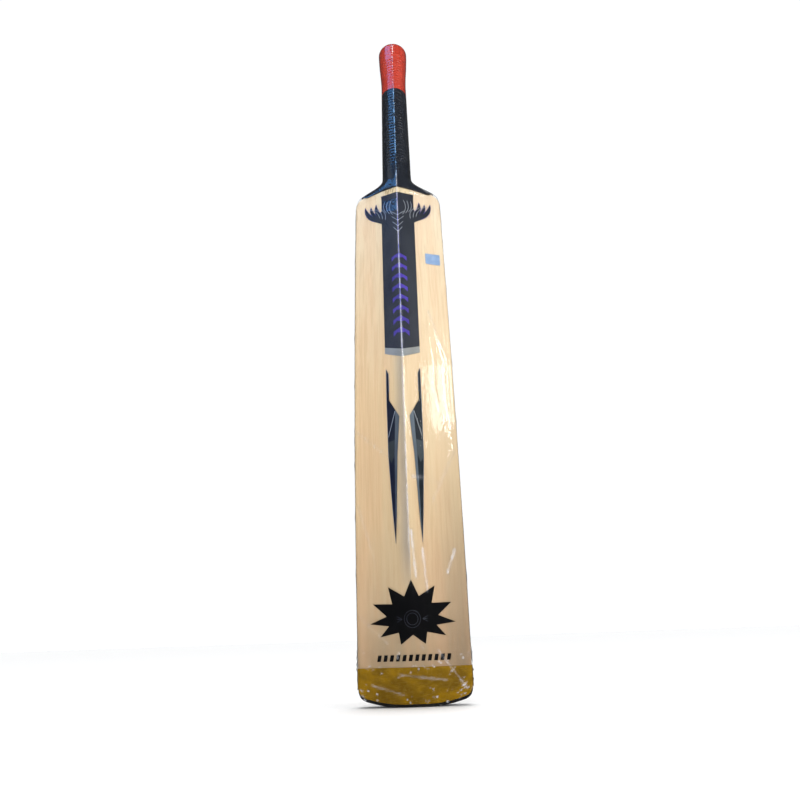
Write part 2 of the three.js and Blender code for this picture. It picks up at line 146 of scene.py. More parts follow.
class Graph:
    """A node tree that is written as a list of nodes and expressions."""

    def __init__(self, tree: bpy.types.NodeTree) -> None:
        """Starts with tree as it is."""
        self.tree = tree

    def node(self, kind: str, settings: dict | None = None,
             inputs: dict | None = None) -> bpy.types.Node:
        """Adds a node.

        Args:
            kind: the node's type.
            settings: its own settings, set before its sockets; stops are a ramp's colours.
            inputs: values, sockets or Values for its sockets, by name or number.

        Returns:
            The new node.
        """
        made = self.tree.nodes.new(kind)
        for name, value in (settings or {}).items():
            if name == "stops":
                self.set_stops(made.color_ramp, value)
            else:
                setattr(made, name, value)
        for name, value in (inputs or {}).items():
            self.feed(made.inputs[name], value)
        return made

    @staticmethod
    def set_stops(ramp: bpy.types.ColorRamp, stops: list[tuple[float, tuple]]) -> None:
        """Gives ramp its (place, colour) stops."""
        while len(ramp.elements) < len(stops):
            ramp.elements.new(1)
        for element, (place, colour) in zip(ramp.elements, stops):
            element.position = place
            element.color = (*colour, 1)

    def feed(self, socket: bpy.types.NodeSocket, value: object) -> None:
        """Links or sets one socket."""
        if isinstance(value, Value):
            value = value.socket
        if isinstance(value, bpy.types.NodeSocket):
            self.tree.links.new(value, socket)
        elif hasattr(value, "__len__") and not isinstance(value, str):
            numbers = list(value)
            if socket.type == "RGBA" and len(numbers) == 3:
                numbers.append(1)
            socket.default_value = numbers
        else:
            socket.default_value = value

    def math(self, operation: str, *values: "Value | bpy.types.NodeSocket | float") -> Value:
        """Adds a Math node over values and returns its result."""
        made = self.node("ShaderNodeMath", {"operation": operation}, dict(enumerate(values)))
        return Value(self, made.outputs[0])

    def attribute(self, name: str) -> Value:
        """Reads the number that the mesh stores under name."""
        made = self.node("ShaderNodeAttribute", {"attribute_name": name})
        return Value(self, made.outputs["Fac"])

    def place(self, scale: tuple[float, float, float] = (1, 1, 1)) -> bpy.types.NodeSocket:
        """The point in the part's own frame, scaled along each axis."""
        point = self.node("ShaderNodeTexCoord").outputs["Object"]
        return self.node("ShaderNodeMapping", None, {"Vector": point, "Scale": scale}).outputs[0]

    def axes(self) -> tuple[Value, Value, Value]:
        """The point's x, y and z in the part's own frame."""
        point = self.node("ShaderNodeTexCoord").outputs["Object"]
        split = self.node("ShaderNodeSeparateXYZ", None, {"Vector": point})
        return tuple(Value(self, out) for out in split.outputs)

    def noise(self, scale: float, stretch: tuple[float, float, float] = (1, 1, 1),
              detail: float = 3, twist: float = 0) -> Value:
        """Cloudy noise.

        Args:
            scale: cells in each metre.
            stretch: multiplies the scale along each axis.
            detail: how many finer layers it has.
            twist: how far it bends back on itself.

        Returns:
            A value about 0.5.
        """
        inputs = {"Vector": self.place(stretch), "Scale": scale, "Detail": detail,
                  "Distortion": twist}
        return Value(self, self.node("ShaderNodeTexNoise", None, inputs).outputs[0])

    def mix(self, share: Value | float, low: object, high: object) -> bpy.types.NodeSocket:
        """The colour that share of the way from low to high."""
        made = self.node("ShaderNodeMix", {"data_type": "RGBA"})
        self.feed(made.inputs[0], share)
        self.feed(made.inputs[6], low)
        self.feed(made.inputs[7], high)
        return made.outputs[2]

    def ramp(self, value: Value, stops: list[tuple[float, tuple]]) -> bpy.types.NodeSocket:
        """The colour that stops give for value."""
        return self.node("ShaderNodeValToRGB", {"stops": stops}, {"Fac": value}).outputs[0]

    def bump(self, height: Value, depth: float, strength: float = 1) -> bpy.types.NodeSocket:
        """A normal raised by height times depth, in metres."""
        inputs = {"Height": height, "Distance": depth, "Strength": strength}
        return self.node("ShaderNodeBump", None, inputs).outputs[0]

    def principled(self, **inputs: object) -> bpy.types.NodeSocket:
        """A Principled shader; an underscore in an input's name stands for a space."""
        named = {name.replace("_", " "): value for name, value in inputs.items()}
        return self.node("ShaderNodeBsdfPrincipled", None, named).outputs[0]


# ---- Finishes ----


@dataclass(frozen=True)
class Finish:
    """A surface finish, and the record's material slot that it stands for."""

    name: str
    slot: str

    def surface(self, graph: Graph) -> bpy.types.NodeSocket:
        """Builds the shader in graph and returns its output."""
        raise NotImplementedError

    def material(self) -> bpy.types.Material:
        """Returns the finish's material, and makes it the first time."""
        title = f"{self.name}_finish"
        made = bpy.data.materials.get(title)
        if made:
            return made
        made = bpy.data.materials.new(title)
        made.use_nodes = True
        made.node_tree.nodes.clear()
        graph = Graph(made.node_tree)
        graph.node("ShaderNodeOutputMaterial", None, {"Surface": self.surface(graph)})
        return made


@dataclass(frozen=True)
class Willow(Finish):
    """Pale sanded willow with a straight grain, creamier towards the shoulders. Its darkening
    towards the toe is partly painted shade, and a grey band left of the spine and the darker lower
    right of the back are painted shade.
    """

    def surface(self, graph: Graph) -> bpy.types.NodeSocket:
        """Builds the shader."""
        x, y, z = graph.axes()
        # Darker towards the toe: partly the wood's own tone and partly painted shade.
        tone = graph.ramp(z / 0.6, [
            (0.07, (0.34, 0.255, 0.155)), (0.15, (0.50, 0.38, 0.235)), (0.28, (0.61, 0.47, 0.285)),
            (0.5, (0.70, 0.55, 0.345)),
            (0.8, (0.745, 0.62, 0.435)), (0.955, (0.76, 0.665, 0.50)), (0.97, (0.82, 0.76, 0.60))])
        broad = graph.noise(9, (6, 1, 0.5), 3, 0.4).between(0.35, 0.7)
        grain = graph.noise(60, (9, 3, 0.16), 4, 0.6).between(0.40, 0.66)
        fine = graph.noise(420, (3, 3, 0.05), 2)
        flushed = graph.mix(broad * 0.30, tone, (0.70, 0.40, 0.22))
        lined = graph.mix(grain * 0.20, flushed, (0.42, 0.25, 0.11))
        fleck = graph.noise(34, (1.3, 1, 0.22), 2, 1).between(0.70, 0.79)
        flecked = graph.mix(fleck * 0.32, lined, (0.36, 0.19, 0.08))
        on_back = y.between(-0.016, -0.006, 1, 0)
        # Painted shade: a grey band just left of the spine, where the steep hollow faces away from
        # the light.
        spine_shade_band = on_back * x.between(-0.013, -0.0008) * x.between(0, 0.0006, 1, 0)
        painted_spine_shade = spine_shade_band * z.between(0.09, 0.15) * z.between(0.32, 0.40, 1, 0)
        spine_shaded = graph.mix(painted_spine_shade * 0.62, flecked, (0.27, 0.26, 0.25))
        # Painted shade: the back darkens towards its lower right, where the light falls off.
        low = on_back * x.between(0.008, 0.05) * z.between(0.05, 0.36, 1, 0)
        colour = graph.mix(low * 0.40, spine_shaded, (0.12, 0.09, 0.06))
        height = grain * 0.6 + fine
        return graph.principled(
            Base_Color=colour, Roughness=grain.between(0, 1, 0.42, 0.52),
            Specular_IOR_Level=0.4, Normal=graph.bump(height, 0.00008, 0.5))


@dataclass(frozen=True)
class Cane(Finish):
    """Manau cane: golden fibres along the handle, with open pores on a sawn end."""

    def surface(self, graph: Graph) -> bpy.types.NodeSocket:
        """Builds the shader."""
        fibre = graph.noise(900, (1, 1, 0.03), 2)
        broad = graph.noise(60, (1, 1, 0.2), 2)
        tone = graph.mix(broad, (0.70, 0.56, 0.34), (0.80, 0.69, 0.47))
        colour = graph.mix(fibre.between(0.56, 0.66) * 0.7, tone, (0.20, 0.10, 0.04))
        return graph.principled(Base_Color=colour, Roughness=0.6,
                                Normal=graph.bump(fibre, 0.0001, 0.6))


@dataclass(frozen=True)
class Rubber(Finish):
    """Moulded rubber with a fine skin, worn a little paler and duller on its high places."""

    colour: tuple[float, float, float]
    worn: tuple[float, float, float]
    roughness: float = 0.45

    def surface(self, graph: Graph) -> bpy.types.NodeSocket:
        """Builds the shader."""
        mottle = graph.noise(90, (1, 1, 1), 3).between(0.42, 0.7)
        skin = graph.noise(2600, (1, 1, 1), 1)
        colour = graph.mix(mottle * 0.4, self.colour, self.worn)
        rough = mottle.between(0, 1, self.roughness, self.roughness + 0.16)
        return graph.principled(Base_Color=colour, Roughness=rough, Specular_IOR_Level=0.5,
                                Normal=graph.bump(skin, 0.00004, 0.12))


@dataclass(frozen=True)
class Twine(Finish):
    """Waxed flax thread."""

    def surface(self, graph: Graph) -> bpy.types.NodeSocket:
        """Builds the shader."""
        ply = graph.noise(1400, (1, 1, 1), 2)
        colour = graph.mix(ply, (0.36, 0.24, 0.11), (0.62, 0.46, 0.25))
        return graph.principled(Base_Color=colour, Roughness=0.75,
                                Normal=graph.bump(ply, 0.0002, 0.7))


@dataclass(frozen=True)
class Mustard(Finish):
    """Mustard tape, rubbed darker and lighter in clouds, with creases pressed in from the film."""

    def surface(self, graph: Graph) -> bpy.types.NodeSocket:
        """Builds the shader."""
        cloud = graph.noise(38, (1, 1, 1.6), 4, 0.8).between(0.34, 0.68)
        crease = graph.noise(75, (0.8, 1, 2.6), 2, 2.2)
        fold = graph.math("ABSOLUTE", crease - 0.5).between(0, 0.022, 1, 0)
        tone = graph.mix(cloud, (0.155, 0.083, 0.001), (0.268, 0.146, 0.002))
        colour = graph.mix(fold * 0.25, tone, (0.42, 0.29, 0.07))
        return graph.principled(Base_Color=colour, Roughness=cloud.between(0, 1, 0.5, 0.34),
                                Specular_IOR_Level=0.1,
                                Normal=graph.bump(fold + cloud * 0.5, 0.0002, 0.6))


@dataclass(frozen=True)
class Vinyl(Finish):
    """Printed vinyl: a ground colour that turns to a second one across the spine, with a faint
    drift. The difference between the two sides is painted reflection and shade.
    """

    left: tuple[float, float, float]
    right: tuple[float, float, float]
    roughness: float = 0.32
    metallic: float = 0.0

    def surface(self, graph: Graph) -> bpy.types.NodeSocket:
        """Builds the shader."""
        # Painted reflection and shade: the print takes one colour left of the spine and another
        # right of it.
        across = graph.axes()[0].between(-0.012, 0.010)
        drift = graph.noise(45, (1, 1, 0.35), 2).between(0.3, 0.75)
        ground = graph.mix(across, self.left, self.right)
        colour = graph.mix(drift * 0.35, ground, tuple(min(1, c * 1.9 + 0.001) for c in self.right))
        peel = graph.noise(320, (1, 1, 1), 2)
        return graph.principled(Base_Color=colour, Metallic=self.metallic, Specular_IOR_Level=0.3,
                                Roughness=drift.between(0, 1, self.roughness, self.roughness + 0.1),
                                Normal=graph.bump(peel, 0.00005, 0.35))


@dataclass(frozen=True)
class Paper(Finish):
    """Pale blue label paper with a faint uneven wash."""

    def surface(self, graph: Graph) -> bpy.types.NodeSocket:
        """Builds the shader."""
        fibre = graph.noise(500, (1, 1, 1), 3)
        wash = graph.noise(120, (1, 1, 1), 2).between(0.4, 0.65)
        colour = graph.mix(wash * 0.45, (0.22, 0.34, 0.54), (0.34, 0.46, 0.66))
        return graph.principled(Base_Color=colour, Roughness=0.55,
                                Normal=graph.bump(fibre, 0.00005, 0.4))


@dataclass(frozen=True)
class ClearFilm(Finish):
    """Clear shrink film: nearly all see-through, glossy, and milky where it is creased; that
    milkiness is mostly painted highlight and partly whitened film.
    """

    def surface(self, graph: Graph) -> bpy.types.NodeSocket:
        """Builds the shader."""
        fine = graph.noise(150, (1.0, 1.0, 0.30), 3, 1.2)
        ripple = graph.bump(fine * (graph.attribute("smooth") * 0.75 + 0.15), 0.001, 0.30)
        mirror = graph.node("ShaderNodeBsdfGlossy", None,
                            {"Color": (1, 1, 1), "Roughness": 0.08, "Normal": ripple}).outputs[0]
        # The milky colour turns bluish over the handle: painted reflection of the blue light.
        up = graph.axes()[2].between(0.58, 0.62)
        haze = graph.mix(up, (0.86, 0.87, 0.92), (0.22, 0.50, 0.95))
        whitening_and_glint_shader = graph.principled(Base_Color=haze, Roughness=0.25, Normal=ripple)
        clear = graph.node("ShaderNodeBsdfTransparent", None, {"Color": (0.99, 0.99, 0.99)})
        facing = Value(graph, graph.node("ShaderNodeLayerWeight", None,
                                         {"Blend": 0.5, "Normal": ripple}).outputs["Facing"])
        shine = facing ** 5 * 0.8 + 0.028
        shiny = graph.node("ShaderNodeMixShader", None,
                           {0: shine, 1: clear.outputs[0], 2: mirror}).outputs[0]
        return graph.node("ShaderNodeMixShader", None,
                          {0: graph.attribute("crease") * 0.8, 1: shiny, 2: whitening_and_glint_shader}).outputs[0]


@dataclass(frozen=True)
class StudioFloor(Finish):
    """Matt white floor paper."""

    def surface(self, graph: Graph) -> bpy.types.NodeSocket:
        """Builds the shader."""
        return graph.principled(Base_Color=(0.92, 0.92, 0.92), Roughness=0.9,
                                Specular_IOR_Level=0.1)


WILLOW = Willow("willow", "willow")
CANE = Cane("cane", "cane")
INSERT = Rubber("insert_rubber", "handle_rubber", (0.012, 0.012, 0.013), (0.03, 0.03, 0.03), 0.7)
TWINE = Twine("twine", "twine")
BLACK_RUBBER = Rubber("black_rubber", "black_grip", (0.0065, 0.010, 0.019), (0.017, 0.024, 0.034))
RED_RUBBER = Rubber("red_rubber", "red_grip", (0.47, 0.032, 0.012), (0.62, 0.060, 0.026), 0.4)
GUARD_RUBBER = Rubber("guard_rubber", "guard_rubber", (0.010, 0.009, 0.009),
                      (0.03, 0.03, 0.033), 0.5)
MUSTARD = Mustard("mustard_tape", "mustard_band")
# Each vinyl's first colour is its print left of the spine and the second right of it; the
# difference is painted reflection and shade.
BLACK_PRINT = Vinyl("black_print", "black_sticker", (0.004, 0.008, 0.030), (0.024, 0.028, 0.038))
EMBLEM_PRINT = Vinyl("emblem_print", "black_sticker", (0.0006, 0.0008, 0.002),
                     (0.0010, 0.0010, 0.002), 0.6)
DARK_PRINT = Vinyl("flash_print", "flash_sticker", (0.006, 0.009, 0.030), (0.010, 0.015, 0.021))
SLATE_PRINT = Vinyl("slate_print", "flash_sticker", (0.085, 0.11, 0.16),
                    (0.11, 0.14, 0.17), 0.3, 0.4)
SHADE_PRINT = Vinyl("shade_print", "flash_sticker", (0.018, 0.024, 0.034),
                    (0.045, 0.058, 0.066), 0.3)
GREY_PRINT = Vinyl("grey_print", "black_sticker", (0.022, 0.026, 0.042), (0.030, 0.034, 0.046), 0.4)
SILVER_FOIL = Vinyl("silver_foil", "black_sticker", (0.27, 0.31, 0.38),
                    (0.28, 0.29, 0.28), 0.3, 0.35)
WHITE_LINE = Vinyl("white_line", "black_sticker", (0.34, 0.44, 0.66), (0.50, 0.54, 0.60), 0.35, 0.3)
VIOLET_INK = Vinyl("violet_ink", "black_sticker", (0.040, 0.028, 0.30),
                   (0.068, 0.045, 0.34), 0.3, 0.2)
BLUE_EDGE = Vinyl("blue_edge", "black_sticker", (0.022, 0.04, 0.24), (0.05, 0.04, 0.24), 0.35)
# A bright blue line down the label's spine: a painted highlight.
SPINE_HIGHLIGHT_INK = Vinyl("bright_edge", "black_sticker", (0.07, 0.10, 0.55), (0.10, 0.12, 0.75), 0.25)
EDGE_SILVER = Vinyl("edge_silver", "flash_sticker", (0.13, 0.17, 0.27),
                    (0.17, 0.20, 0.27), 0.3, 0.3)
PALE_PAPER = Paper("blue_paper", "blue_sticker")
CLEAR_FILM = ClearFilm("clear_film", "clear_film")
FLOOR_PAPER = StudioFloor("floor_paper", "")


# ---- Mesh helpers ----


def smoothstep(value: np.ndarray, low: float, high: float) -> np.ndarray:
    """Rises smoothly from 0 at low to 1 at high."""
    share = np.clip((value - low) / (high - low), 0, 1)
    return share * share * (3 - 2 * share)


def blend(low: np.ndarray, high: np.ndarray, share: np.ndarray) -> np.ndarray:
    """The value that share of the way from low to high."""
    return low + (high - low) * share


def place_mesh(mesh: bpy.types.Mesh, finish: Finish) -> bpy.types.Object:
    """Gives mesh its material and puts it in the scene as an object of the same name."""
    mesh.materials.append(finish.material())
    made = bpy.data.objects.new(mesh.name, mesh)
    bpy.context.scene.collection.objects.link(made)
    return made


def level(height: float) -> Callable:
    """A law that gives the same height everywhere."""
    return lambda x: np.full_like(np.asarray(x, float), height)


def make_object(name: str, points: np.ndarray, faces: list, finish: Finish,
                sharp: float = CRISP) -> bpy.types.Object:
    """Makes a smooth-shaded mesh object.

    Args:
        name: the object's name.
        points: the corners, one row each.
        faces: the corner numbers of each face.
        finish: what it is made of.
        sharp: edges over this angle, in degrees, stay crisp.

    Returns:
        The object, linked to the scene.
    """
    mesh = bpy.data.meshes.new(name)
    mesh.from_pydata(np.asarray(points, float).reshape(-1, 3).tolist(), [], faces)
    mesh.validate()
    finish_mesh(mesh, sharp)
    return place_mesh(mesh, finish)


def finish_mesh(mesh: bpy.types.Mesh, sharp: float) -> None:
    """Shades mesh smooth except over edges sharper than sharp degrees."""
    mesh.polygons.foreach_set("use_smooth", [True] * len(mesh.polygons))
    mesh.set_sharp_from_angle(angle=math.radians(sharp))


def ring_faces(rows: int, columns: int, start: int = 0, outward: bool = True) -> list[tuple]:
    """Faces of a tube through rows of columns points each, numbered from start."""
    faces = []
    for row in range(rows - 1):
        for i in range(columns):
            a = start + row * columns + i
            b = start + row * columns + (i + 1) % columns
            quad = (a, b, b + columns, a + columns)
            faces.append(quad if outward else quad[::-1])
    return faces


def rim_faces(first: int, second: int, columns: int) -> list[tuple]:
    """Faces that join two rings of columns points, the first one below or outside."""
    return [(first + i, first + (i + 1) % columns, second + (i + 1) % columns, second + i)
            for i in range(columns)]


def shell(name: str, outer: np.ndarray, inner: np.ndarray, finish: Finish,
          sharp: float = CRISP) -> bpy.types.Object:
    """A tube with a wall, from rows of points outside and inside it, both lowest first."""
    columns = outer.shape[1]
    start = outer.shape[0] * columns
    faces = ring_faces(outer.shape[0], columns)
    faces += ring_faces(inner.shape[0], columns, start, False)
    faces += rim_faces(start, 0, columns)
    faces += rim_faces(start - columns, start + (inner.shape[0] - 1) * columns, columns)
    points = np.concatenate([outer.reshape(-1, 3), inner.reshape(-1, 3)])
    return make_object(name, points, faces, finish, sharp)


def recut(target: bpy.types.Object, tool: bpy.types.Object, operation: str) -> None:
    """Cuts target with tool for good, and removes the tool."""
    cut = target.modifiers.new("cut", "BOOLEAN")
    cut.operation = operation
    cut.solver = "EXACT"
    cut.object = tool
    apply_modifiers(target)
    bpy.data.objects.remove(tool)


def apply_modifiers(target: bpy.types.Object) -> None:
    """Turns target into the plain mesh that its modifiers give."""
    bpy.context.view_layer.update()
    graph = bpy.context.evaluated_depsgraph_get()
    made = bpy.data.meshes.new_from_object(target.evaluated_get(graph))
    target.modifiers.clear()
    target.data = made


def store(target: bpy.types.Object, name: str, values: np.ndarray) -> None:
    """Stores one number for each point of target's mesh under name."""
    layer = target.data.attributes.new(name, "FLOAT", "POINT")
    layer.data.foreach_set("value", np.asarray(values, np.float32).ravel())


# ---- Geometry Nodes ----


class NodeTool:
    """A Geometry Nodes tree with named inputs, run on a mesh until it is a plain mesh again."""

    def __init__(self, name: str, inputs: dict[str, str]) -> None:
        """Starts the tree.

        Args:
            name: the tree's name.
            inputs: the type of each input's socket, by name.
        """
        self.tree = bpy.data.node_groups.new(name, "GeometryNodeTree")
        face = self.tree.interface
        face.new_socket("Geometry", in_out="INPUT", socket_type="NodeSocketGeometry")
        for label, kind in {**inputs, "Material": "NodeSocketMaterial"}.items():
            face.new_socket(label, in_out="INPUT", socket_type=kind)
        face.new_socket("Geometry", in_out="OUTPUT", socket_type="NodeSocketGeometry")
        self.graph = Graph(self.tree)
        self.inputs = self.graph.node("NodeGroupInput").outputs

    def number(self, name: str) -> Value:
        """The input of that name, as a number to reckon with."""
        return Value(self.graph, self.inputs[name])

    def stored(self, name: str) -> Value:
        """The number that the mesh stores for each point under name."""
        made = self.graph.node("GeometryNodeInputNamedAttribute", {"data_type": "FLOAT"},
                               {"Name": name})
        return Value(self.graph, made.outputs[0])

    def close(self, geometry: bpy.types.NodeSocket) -> None:
        """Ends the tree: instances become mesh, smooth, with the material set."""
        real = self.graph.node("GeometryNodeRealizeInstances", None, {0: geometry})
        smooth = self.graph.node("GeometryNodeSetShadeSmooth", None, {0: real.outputs[0]})
        dressed = self.graph.node("GeometryNodeSetMaterial", None,
                                  {0: smooth.outputs[0], "Material": self.inputs["Material"]})
        self.graph.node("NodeGroupOutput", None, {0: dressed.outputs[0]})

    def run(self, target: bpy.types.Object, sharp: float, **values: object) -> None:
        """Runs the tree on target.

        Args:
            target: the mesh object that goes in, which holds the result.
            sharp: edges over this angle, in degrees, stay crisp.
            values: the inputs' values.
        """
        modifier = target.modifiers.new("tool", "NODES")
        modifier.node_group = self.tree
        named = {**values, "Material": target.data.materials[0]}
        for item in self.tree.interface.items_tree:
            if item.in_out == "INPUT" and item.name in named:
                modifier[item.identifier] = named[item.name]
        apply_modifiers(target)
        finish_mesh(target.data, sharp)


def rib_tool() -> NodeTool:
    """Cuts ring grooves into a sleeve, by its stored height up the handle and rib share."""
    tool = NodeTool("ribs", {"Pitch": "NodeSocketFloat", "Depth": "NodeSocketFloat",
                             "Groove": "NodeSocketFloat"})
    graph = tool.graph
    turn = tool.stored("up_handle") / tool.number("Pitch")
    cut = turn.math("PINGPONG", 0.5).between(0, tool.number("Groove"), 1, 0)
    depth = cut * tool.stored("ribbed") * tool.number("Depth")
    normal = graph.node("GeometryNodeInputNormal").outputs[0]
    offset = graph.node("ShaderNodeVectorMath", {"operation": "SCALE"},
                        {0: normal, "Scale": depth * -1}).outputs[0]
    moved = graph.node("GeometryNodeSetPosition", None,
                       {"Geometry": tool.inputs["Geometry"], "Offset": offset})
    tool.close(moved.outputs[0])
    return tool


def thread_tool() -> NodeTool:
    """Runs a round thread along the edges of a mesh."""
    tool = NodeTool("thread", {"Radius": "NodeSocketFloat", "Facets": "NodeSocketInt"})
    graph = tool.graph
    path = graph.node("GeometryNodeMeshToCurve", None, {0: tool.inputs["Geometry"]}).outputs[0]
    section = graph.node("GeometryNodeCurvePrimitiveCircle", {"mode": "RADIUS"},
                         {"Resolution": tool.inputs["Facets"], "Radius": tool.inputs["Radius"]})
    tube = graph.node("GeometryNodeCurveToMesh", None,
                      {"Curve": path, "Profile Curve": section.outputs[0], "Fill Caps": True})
    tool.close(tube.outputs[0])
    return tool


def row_tool() -> NodeTool:
    """Repeats a flat mark in a row and presses every copy onto the blade's back."""
    tool = NodeTool("row", {"Count": "NodeSocketInt", "Step": "NodeSocketVector",
                            "Surface": "NodeSocketObject", "Lift": "NodeSocketFloat"})
    graph = tool.graph
    line = graph.node("GeometryNodeMeshLine", {"mode": "OFFSET"},
                      {"Count": tool.inputs["Count"], "Offset": tool.inputs["Step"]})
    copies = graph.node("GeometryNodeInstanceOnPoints", None,
                        {"Points": line.outputs[0], "Instance": tool.inputs["Geometry"]})
    real = graph.node("GeometryNodeRealizeInstances", None, {0: copies.outputs[0]}).outputs[0]
    blade = graph.node("GeometryNodeObjectInfo", None,
                       {"Object": tool.inputs["Surface"]}).outputs["Geometry"]
    place = graph.node("GeometryNodeInputPosition").outputs[0]
    axes = graph.node("ShaderNodeSeparateXYZ", None, {0: place}).outputs
    behind = graph.node("ShaderNodeCombineXYZ", None, {"X": axes[0], "Y": -1.0, "Z": axes[2]})
    ray = graph.node("GeometryNodeRaycast", None,
                     {"Target Geometry": blade, "Source Position": behind.outputs[0],
                      "Ray Direction": (0.0, 1.0, 0.0), "Ray Length": 2.0})
    hit = graph.node("ShaderNodeSeparateXYZ", None, {0: ray.outputs["Hit Position"]}).outputs[1]
    raised = Value(graph, hit) + axes[1] - tool.inputs["Lift"]
    landed = graph.node("ShaderNodeCombineXYZ", None, {"X": axes[0], "Y": raised, "Z": axes[2]})
    moved = graph.node("GeometryNodeSetPosition", None,
                       {"Geometry": real, "Position": landed.outputs[0]})
    tool.close(moved.outputs[0])
    return tool


# ---- The blade's form ----


@dataclass(frozen=True)
class Ring:
    """How many points the outline has from the spine to the side, and how they spread."""

    straight: int
    corner: int
    crowd: float = 1.35  # above 1 the points crowd towards the spine
    face_step: int = 1  # above 1 the flat hitting face keeps only one point in so many

    def columns(self) -> list[tuple[int, bool, int]]:
        """(side, on the face, steps from the middle) of each point, anticlockwise from above."""
        last = self.straight + self.corner
        out, back = range(last + 1), range(last, -1, -1)
        right = [(1, False, k) for k in out] + [(1, True, k) for k in back]
        left = [(-1, True, k) for k in out[1:]] + [(-1, False, k) for k in back[:-1]]
        return [(side, on_face, k) for side, on_face, k in right + left
                if not on_face or k >= self.straight or k % self.face_step == 0]

    def cap_faces(self, start: int, up: bool) -> list[tuple]:
        """Faces across the end ring whose points are numbered from start."""
        number = {column: start + i for i, column in enumerate(self.columns())}
        for on_face in (False, True):
            number[(-1, on_face, 0)] = number[(1, on_face, 0)]
        faces = []
        for side in (1, -1):
            for k in range(self.straight + self.corner):
                quad = (number[(side, False, k)], number[(side, False, k + 1)],
                        number[(side, True, k + 1)], number[(side, True, k)])
                faces.append(quad if (side > 0) == up else quad[::-1])
        return faces


@dataclass(frozen=True)
class BatForm:
    """The laws of the bat's outside, from which every piece on it takes its shape."""

    length: float
    toe_width: float
    handle_length: float
    shoulder_width: float = 104 * MM
    bow: float = 15 * MM
    toe_depth: float = 22 * MM
    swell_depth: float = 56 * MM
    shoulder_depth: float = 34 * MM
    toe_edge: float = 18 * MM
    swell_edge: float = 26 * MM
    shoulder_edge: float = 14 * MM
    swell_height: float = 215 * MM
    toe_sweep: float = 1.7
    shoulder_sweep: float = 1.5
    spine_start: float = 70 * MM
    spine_sharp: float = 150 * MM
    scoop: float = 1.4
    ridge_round: float = 0.7 * MM  # how far from the spine its crease is rounded off
    face_crown: float = 2 * MM
    edge_radius: float = 3 * MM
    corner_drop: float = 5 * MM
    neck_rise: float = 56 * MM
    shoulder_round: float = 3.4
    neck_hollow: float = 7
    neck_radius: float = 16.3 * MM
    oval: float = 0.96
    toe_flat: float = 10 * MM
    toe_arch: float = 4.3
    toe_corner: float = 7 * MM
    hem_above: float = 9.5 * MM
    hem_rise: float = 8.5 * MM
    hem_ends: float = 5.5 * MM  # how far the hem climbs again at the ends of the shoulders
    base_radius: float = 18.1 * MM
    waist_radius: float = 16.4 * MM
    knob_radius: float = 19.4 * MM
    knob_flare: float = 75 * MM
    knob_round: float = 7 * MM
    cane_radius: float = 15.1 * MM
    splice: float = 165 * MM

    @property
    def corner_height(self) -> float:
        """Where the shoulders start to round."""
        return self.length - self.corner_drop

    @property
    def neck_top(self) -> float:
        """Where the neck is as narrow as the handle."""
        return self.corner_height + self.neck_rise

    @property
    def bow_radius(self) -> float:
        """Radius of the blade's bow, seen from the side."""
        return (self.length**2 / 4 + self.bow**2) / (2 * self.bow)

    @property
    def lean(self) -> float:
        """The handle's lean towards the hitting face, in radians."""
        return math.asin(self.length / 2 / self.bow_radius)

    def bow_line(self, z: np.ndarray) -> np.ndarray:
        """The blade's and handle's line seen from the side: an arc, then its tangent."""
        from_middle = np.minimum(z, self.length) - self.length / 2
        arc = self.bow_radius - self.bow - np.sqrt(self.bow_radius**2 - from_middle**2)
        return arc + np.maximum(z - self.length, 0) * math.tan(self.lean)

    def face_line(self, z: np.ndarray) -> np.ndarray:
        """The middle of the hitting face."""
        return self.bow_line(z) + self.toe_depth / 2

    def axis_line(self, z: np.ndarray) -> np.ndarray:
        """The middle of the handle."""
        return self.face_line(z) - self.neck_radius * self.oval

    def along(self, z: np.ndarray, toe: float, swell: float, shoulder: float) -> np.ndarray:
        """A depth that goes from toe to swell to shoulder."""
        below = (1 - np.clip(z / self.swell_height, 0, 1)) ** self.toe_sweep
        reach = (z - self.swell_height) / (self.length - self.swell_height)
        above = np.clip(reach, 0, 1) ** self.shoulder_sweep
        return np.where(z < self.swell_height, blend(swell, toe, below),
                        blend(swell, shoulder, above))

    def neck_share(self, z: np.ndarray) -> np.ndarray:
        """How far z has gone from the shoulders to the neck, from 0 to 1."""
        return np.clip((z - self.corner_height) / self.neck_rise, 0, 1)

    def half_width(self, z: np.ndarray) -> np.ndarray:
        """Half the blade's width."""
        taper = np.clip(z / self.corner_height, 0, 1)
        side = blend(self.toe_width, self.shoulder_width, taper) / 2
        drawn_in = (1 - self.neck_share(z) ** self.shoulder_round) ** self.neck_hollow
        return blend(self.neck_radius, side, drawn_in)

    def back_at(self, x: np.ndarray, z: np.ndarray, grow: np.ndarray) -> np.ndarray:
        """The back's y at x, grown outwards by grow."""
        half = self.half_width(z) + grow
        face = self.face_line(z)
        edge = face - self.face_crown - self.along(
            z, self.toe_edge, self.swell_edge, self.shoulder_edge) - grow
        spine = face - self.along(
            z, self.toe_depth, self.swell_depth, self.shoulder_depth) - grow
        rounded = np.sqrt(x**2 + self.ridge_round**2) - self.ridge_round
        to_spine = 1 - np.clip(rounded / half, 0, 1)
        dome = (1 - np.cos(np.pi * to_spine)) / 2
        sharp = smoothstep(z, self.spine_start, self.spine_sharp)
        return blend(edge, spine, blend(dome, to_spine**self.scoop, sharp))

    def to_oval(self, x: np.ndarray, y: np.ndarray, z: np.ndarray,
                grow: np.ndarray) -> tuple[np.ndarray, np.ndarray]:
        """Turns the outline into the handle's oval above the shoulders."""
        half = self.half_width(z) + grow
        share = smoothstep(self.neck_share(z), 0.1, 1)
        depth = self.neck_radius * self.oval + grow
        axis = self.axis_line(z)
        turn = np.arctan2((y - axis) / depth, x / half)
        return blend(x, half * np.cos(turn), share), blend(y, axis + depth * np.sin(turn), share)

